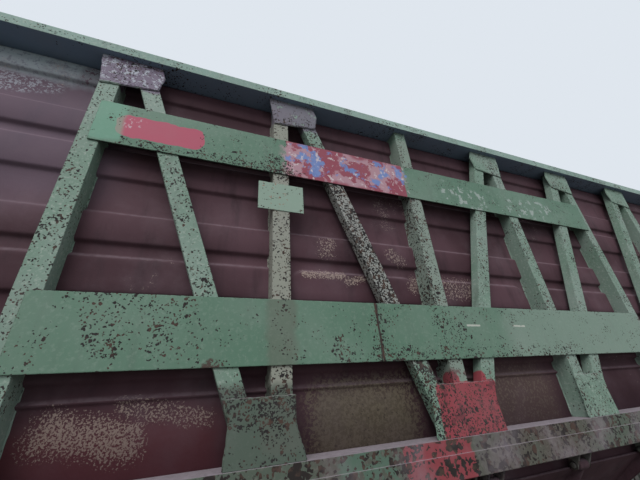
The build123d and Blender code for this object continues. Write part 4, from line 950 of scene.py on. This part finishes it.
# Treads of the platforms: raised lozenges, laid crosswise in turn
tread = {
    "pitch": 0.065, "halfLong": 0.0150, "halfWide": 0.0035, "high": 0.0025, "crown": 0.6,
    "fromX": 4.62, "toX": 5.37, "halfY": 1.38,
}
for end, way in ends.items():
    mesh = bmesh.new()
    countX = int((tread["toX"] - tread["fromX"]) / tread["pitch"])
    countY = int(2 * tread["halfY"] / tread["pitch"])
    for i in range(countX + 1):
        for j in range(countY + 1):
            x = way * (tread["fromX"] + i * tread["pitch"])
            middle = Vector((x, -tread["halfY"] + j * tread["pitch"], wagon["deckZ"]))
            along, across = tread["halfLong"], tread["halfWide"]
            if (i + j) % 2 == 0:
                along, across = across, along
            corners = [Vector(c) for c in ((along, 0, 0), (0, across, 0), (-along, 0, 0), (0, -across, 0))]
            top = middle + Vector((0, 0, tread["high"]))
            lozenge = [middle + c for c in corners] + [top + c * tread["crown"] for c in corners]
            closeRings(mesh, [mesh.verts.new(v) for v in lozenge], 4)
    newPiece(mesh, f"deckTread_{end}", "body", deckEnamel)
print("platform treads")


# Bolts and flanges at the ends of the body: handrail feet, ladder straps, striker
fixing = {
    "bolt": 0.022, "railX": 5.340, "railY": 1.440, "sillZ": 1.210, "ladderY": (1.19, 1.41),
    "ladderX": 5.400, "ladderZ": 1.140, "strikerX": 5.426, "strikerY": 0.180,
    "strikerZ": (0.995, 1.088, 1.185), "flange": 0.030, "flangeThick": 0.008,
    "collar": 0.020, "collarFrom": 0.006, "collarTo": 0.016,
}
for end, way in ends.items():
    mesh = bmesh.new()
    for side in sides.values():
        foot = Vector((way * fixing["railX"], side * fixing["railY"], fixing["sillZ"]))
        addDisc(mesh, foot, (0, 0, 1), fixing["flange"], fixing["flangeThick"], 24)
        collar = [foot + Vector((0, 0, up)) for up in (fixing["collarFrom"], fixing["collarTo"])]
        addTube(mesh, collar, fixing["collar"], 16)
        for z in fixing["strikerZ"]:
            spot = (way * fixing["strikerX"], side * fixing["strikerY"], z)
            addBolt(mesh, spot, (way, 0, 0), fixing["bolt"])
    for y in fixing["ladderY"]:
        addBolt(mesh, (way * fixing["ladderX"], way * y, fixing["ladderZ"]), (way, 0, 0), fixing["bolt"])
    newPiece(mesh, f"endBolts_{end}", "body", underframePaint)
print("end bolts")


# Stage: pale floor and background for the camera, darker below for the light that bounces up
stageLook = {"seen": "#d9d8d4", "bounce": "#6f6d69", "sky": "#dfe6ee", "lightStrength": 0.66, "half": 60}
made, add = newMaterial("floorPaper")
cameraRay = add("LightPath", {}, 0)
seen = add("BsdfDiffuse", {"Color": fromHex(stageLook["seen"])})
bounce = add("BsdfDiffuse", {"Color": fromHex(stageLook["bounce"])})
add("OutputMaterial", {0: add("MixShader", {0: cameraRay, 1: bounce, 2: seen})})
mesh = bmesh.new()
bmesh.ops.create_grid(mesh, x_segments=1, y_segments=1, size=stageLook["half"])
data = bpy.data.meshes.new("floor")
mesh.to_mesh(data)
mesh.free()
data.materials.append(made)
floor = bpy.data.objects.new("floor", data)
scene.collection.objects.link(floor)

world = bpy.data.worlds.new("studio")
world.use_nodes = True
scene.world = world
world.node_tree.nodes.clear()
add = partial(addNode, world.node_tree)
# camera, glossy and transmission rays see the pale background
rays = [add("LightPath", {}, ray) for ray in (0, 3, 6)]
seen = add("Math", {0: rays[0], 1: rays[1]}, **larger)
seen = add("Math", {0: seen, 1: rays[2]}, **larger)
light = add("Background", {0: fromHex(stageLook["sky"]), 1: stageLook["lightStrength"]})
back = add("Background", {0: fromHex(stageLook["sky"]), 1: 1.0})
add("OutputWorld", {0: add("MixShader", {0: seen, 1: light, 2: back})})

lamps = {
    # name: (from, strength, softness in degrees)
    "key": ((-5.0, -9.0, 10.0), 1.6, 40),
    "fill": ((6.0, 8.0, 7.0), 0.8, 60),
}
for name, (origin, strength, softness) in lamps.items():
    lamp = bpy.data.lights.new(name, "SUN")
    lamp.energy = strength
    lamp.angle = math.radians(softness)
    item = bpy.data.objects.new(name, lamp)
    item.location = origin
    item.rotation_mode = "QUATERNION"
    item.rotation_quaternion = Vector(origin).to_track_quat("Z", "Y")
    scene.collection.objects.link(item)

shot = {
    "spot": (-1.34535, -2.93976, 1.372), "lens": 16.7625, "sensor": 36,
    "right": (0.93581, -0.34698, -0.06217), "down": (0.10548, 0.44391, -0.88984),
    "ahead": (0.33635, 0.82616, 0.45202),
}
lens = bpy.data.cameras.new("camera")
lens.lens = shot["lens"]
lens.sensor_width = shot["sensor"]
lens.clip_start = 0.05
lens.clip_end = 200
view = bpy.data.objects.new("camera", lens)
axes = Matrix((shot["right"], [-v for v in shot["down"]], [-v for v in shot["ahead"]])).transposed()
view.matrix_world = Matrix.Translation(shot["spot"]) @ axes.to_4x4()
scene.collection.objects.link(view)
scene.camera = view
scene.view_settings.view_transform = "Standard"
print("stage, light and camera")
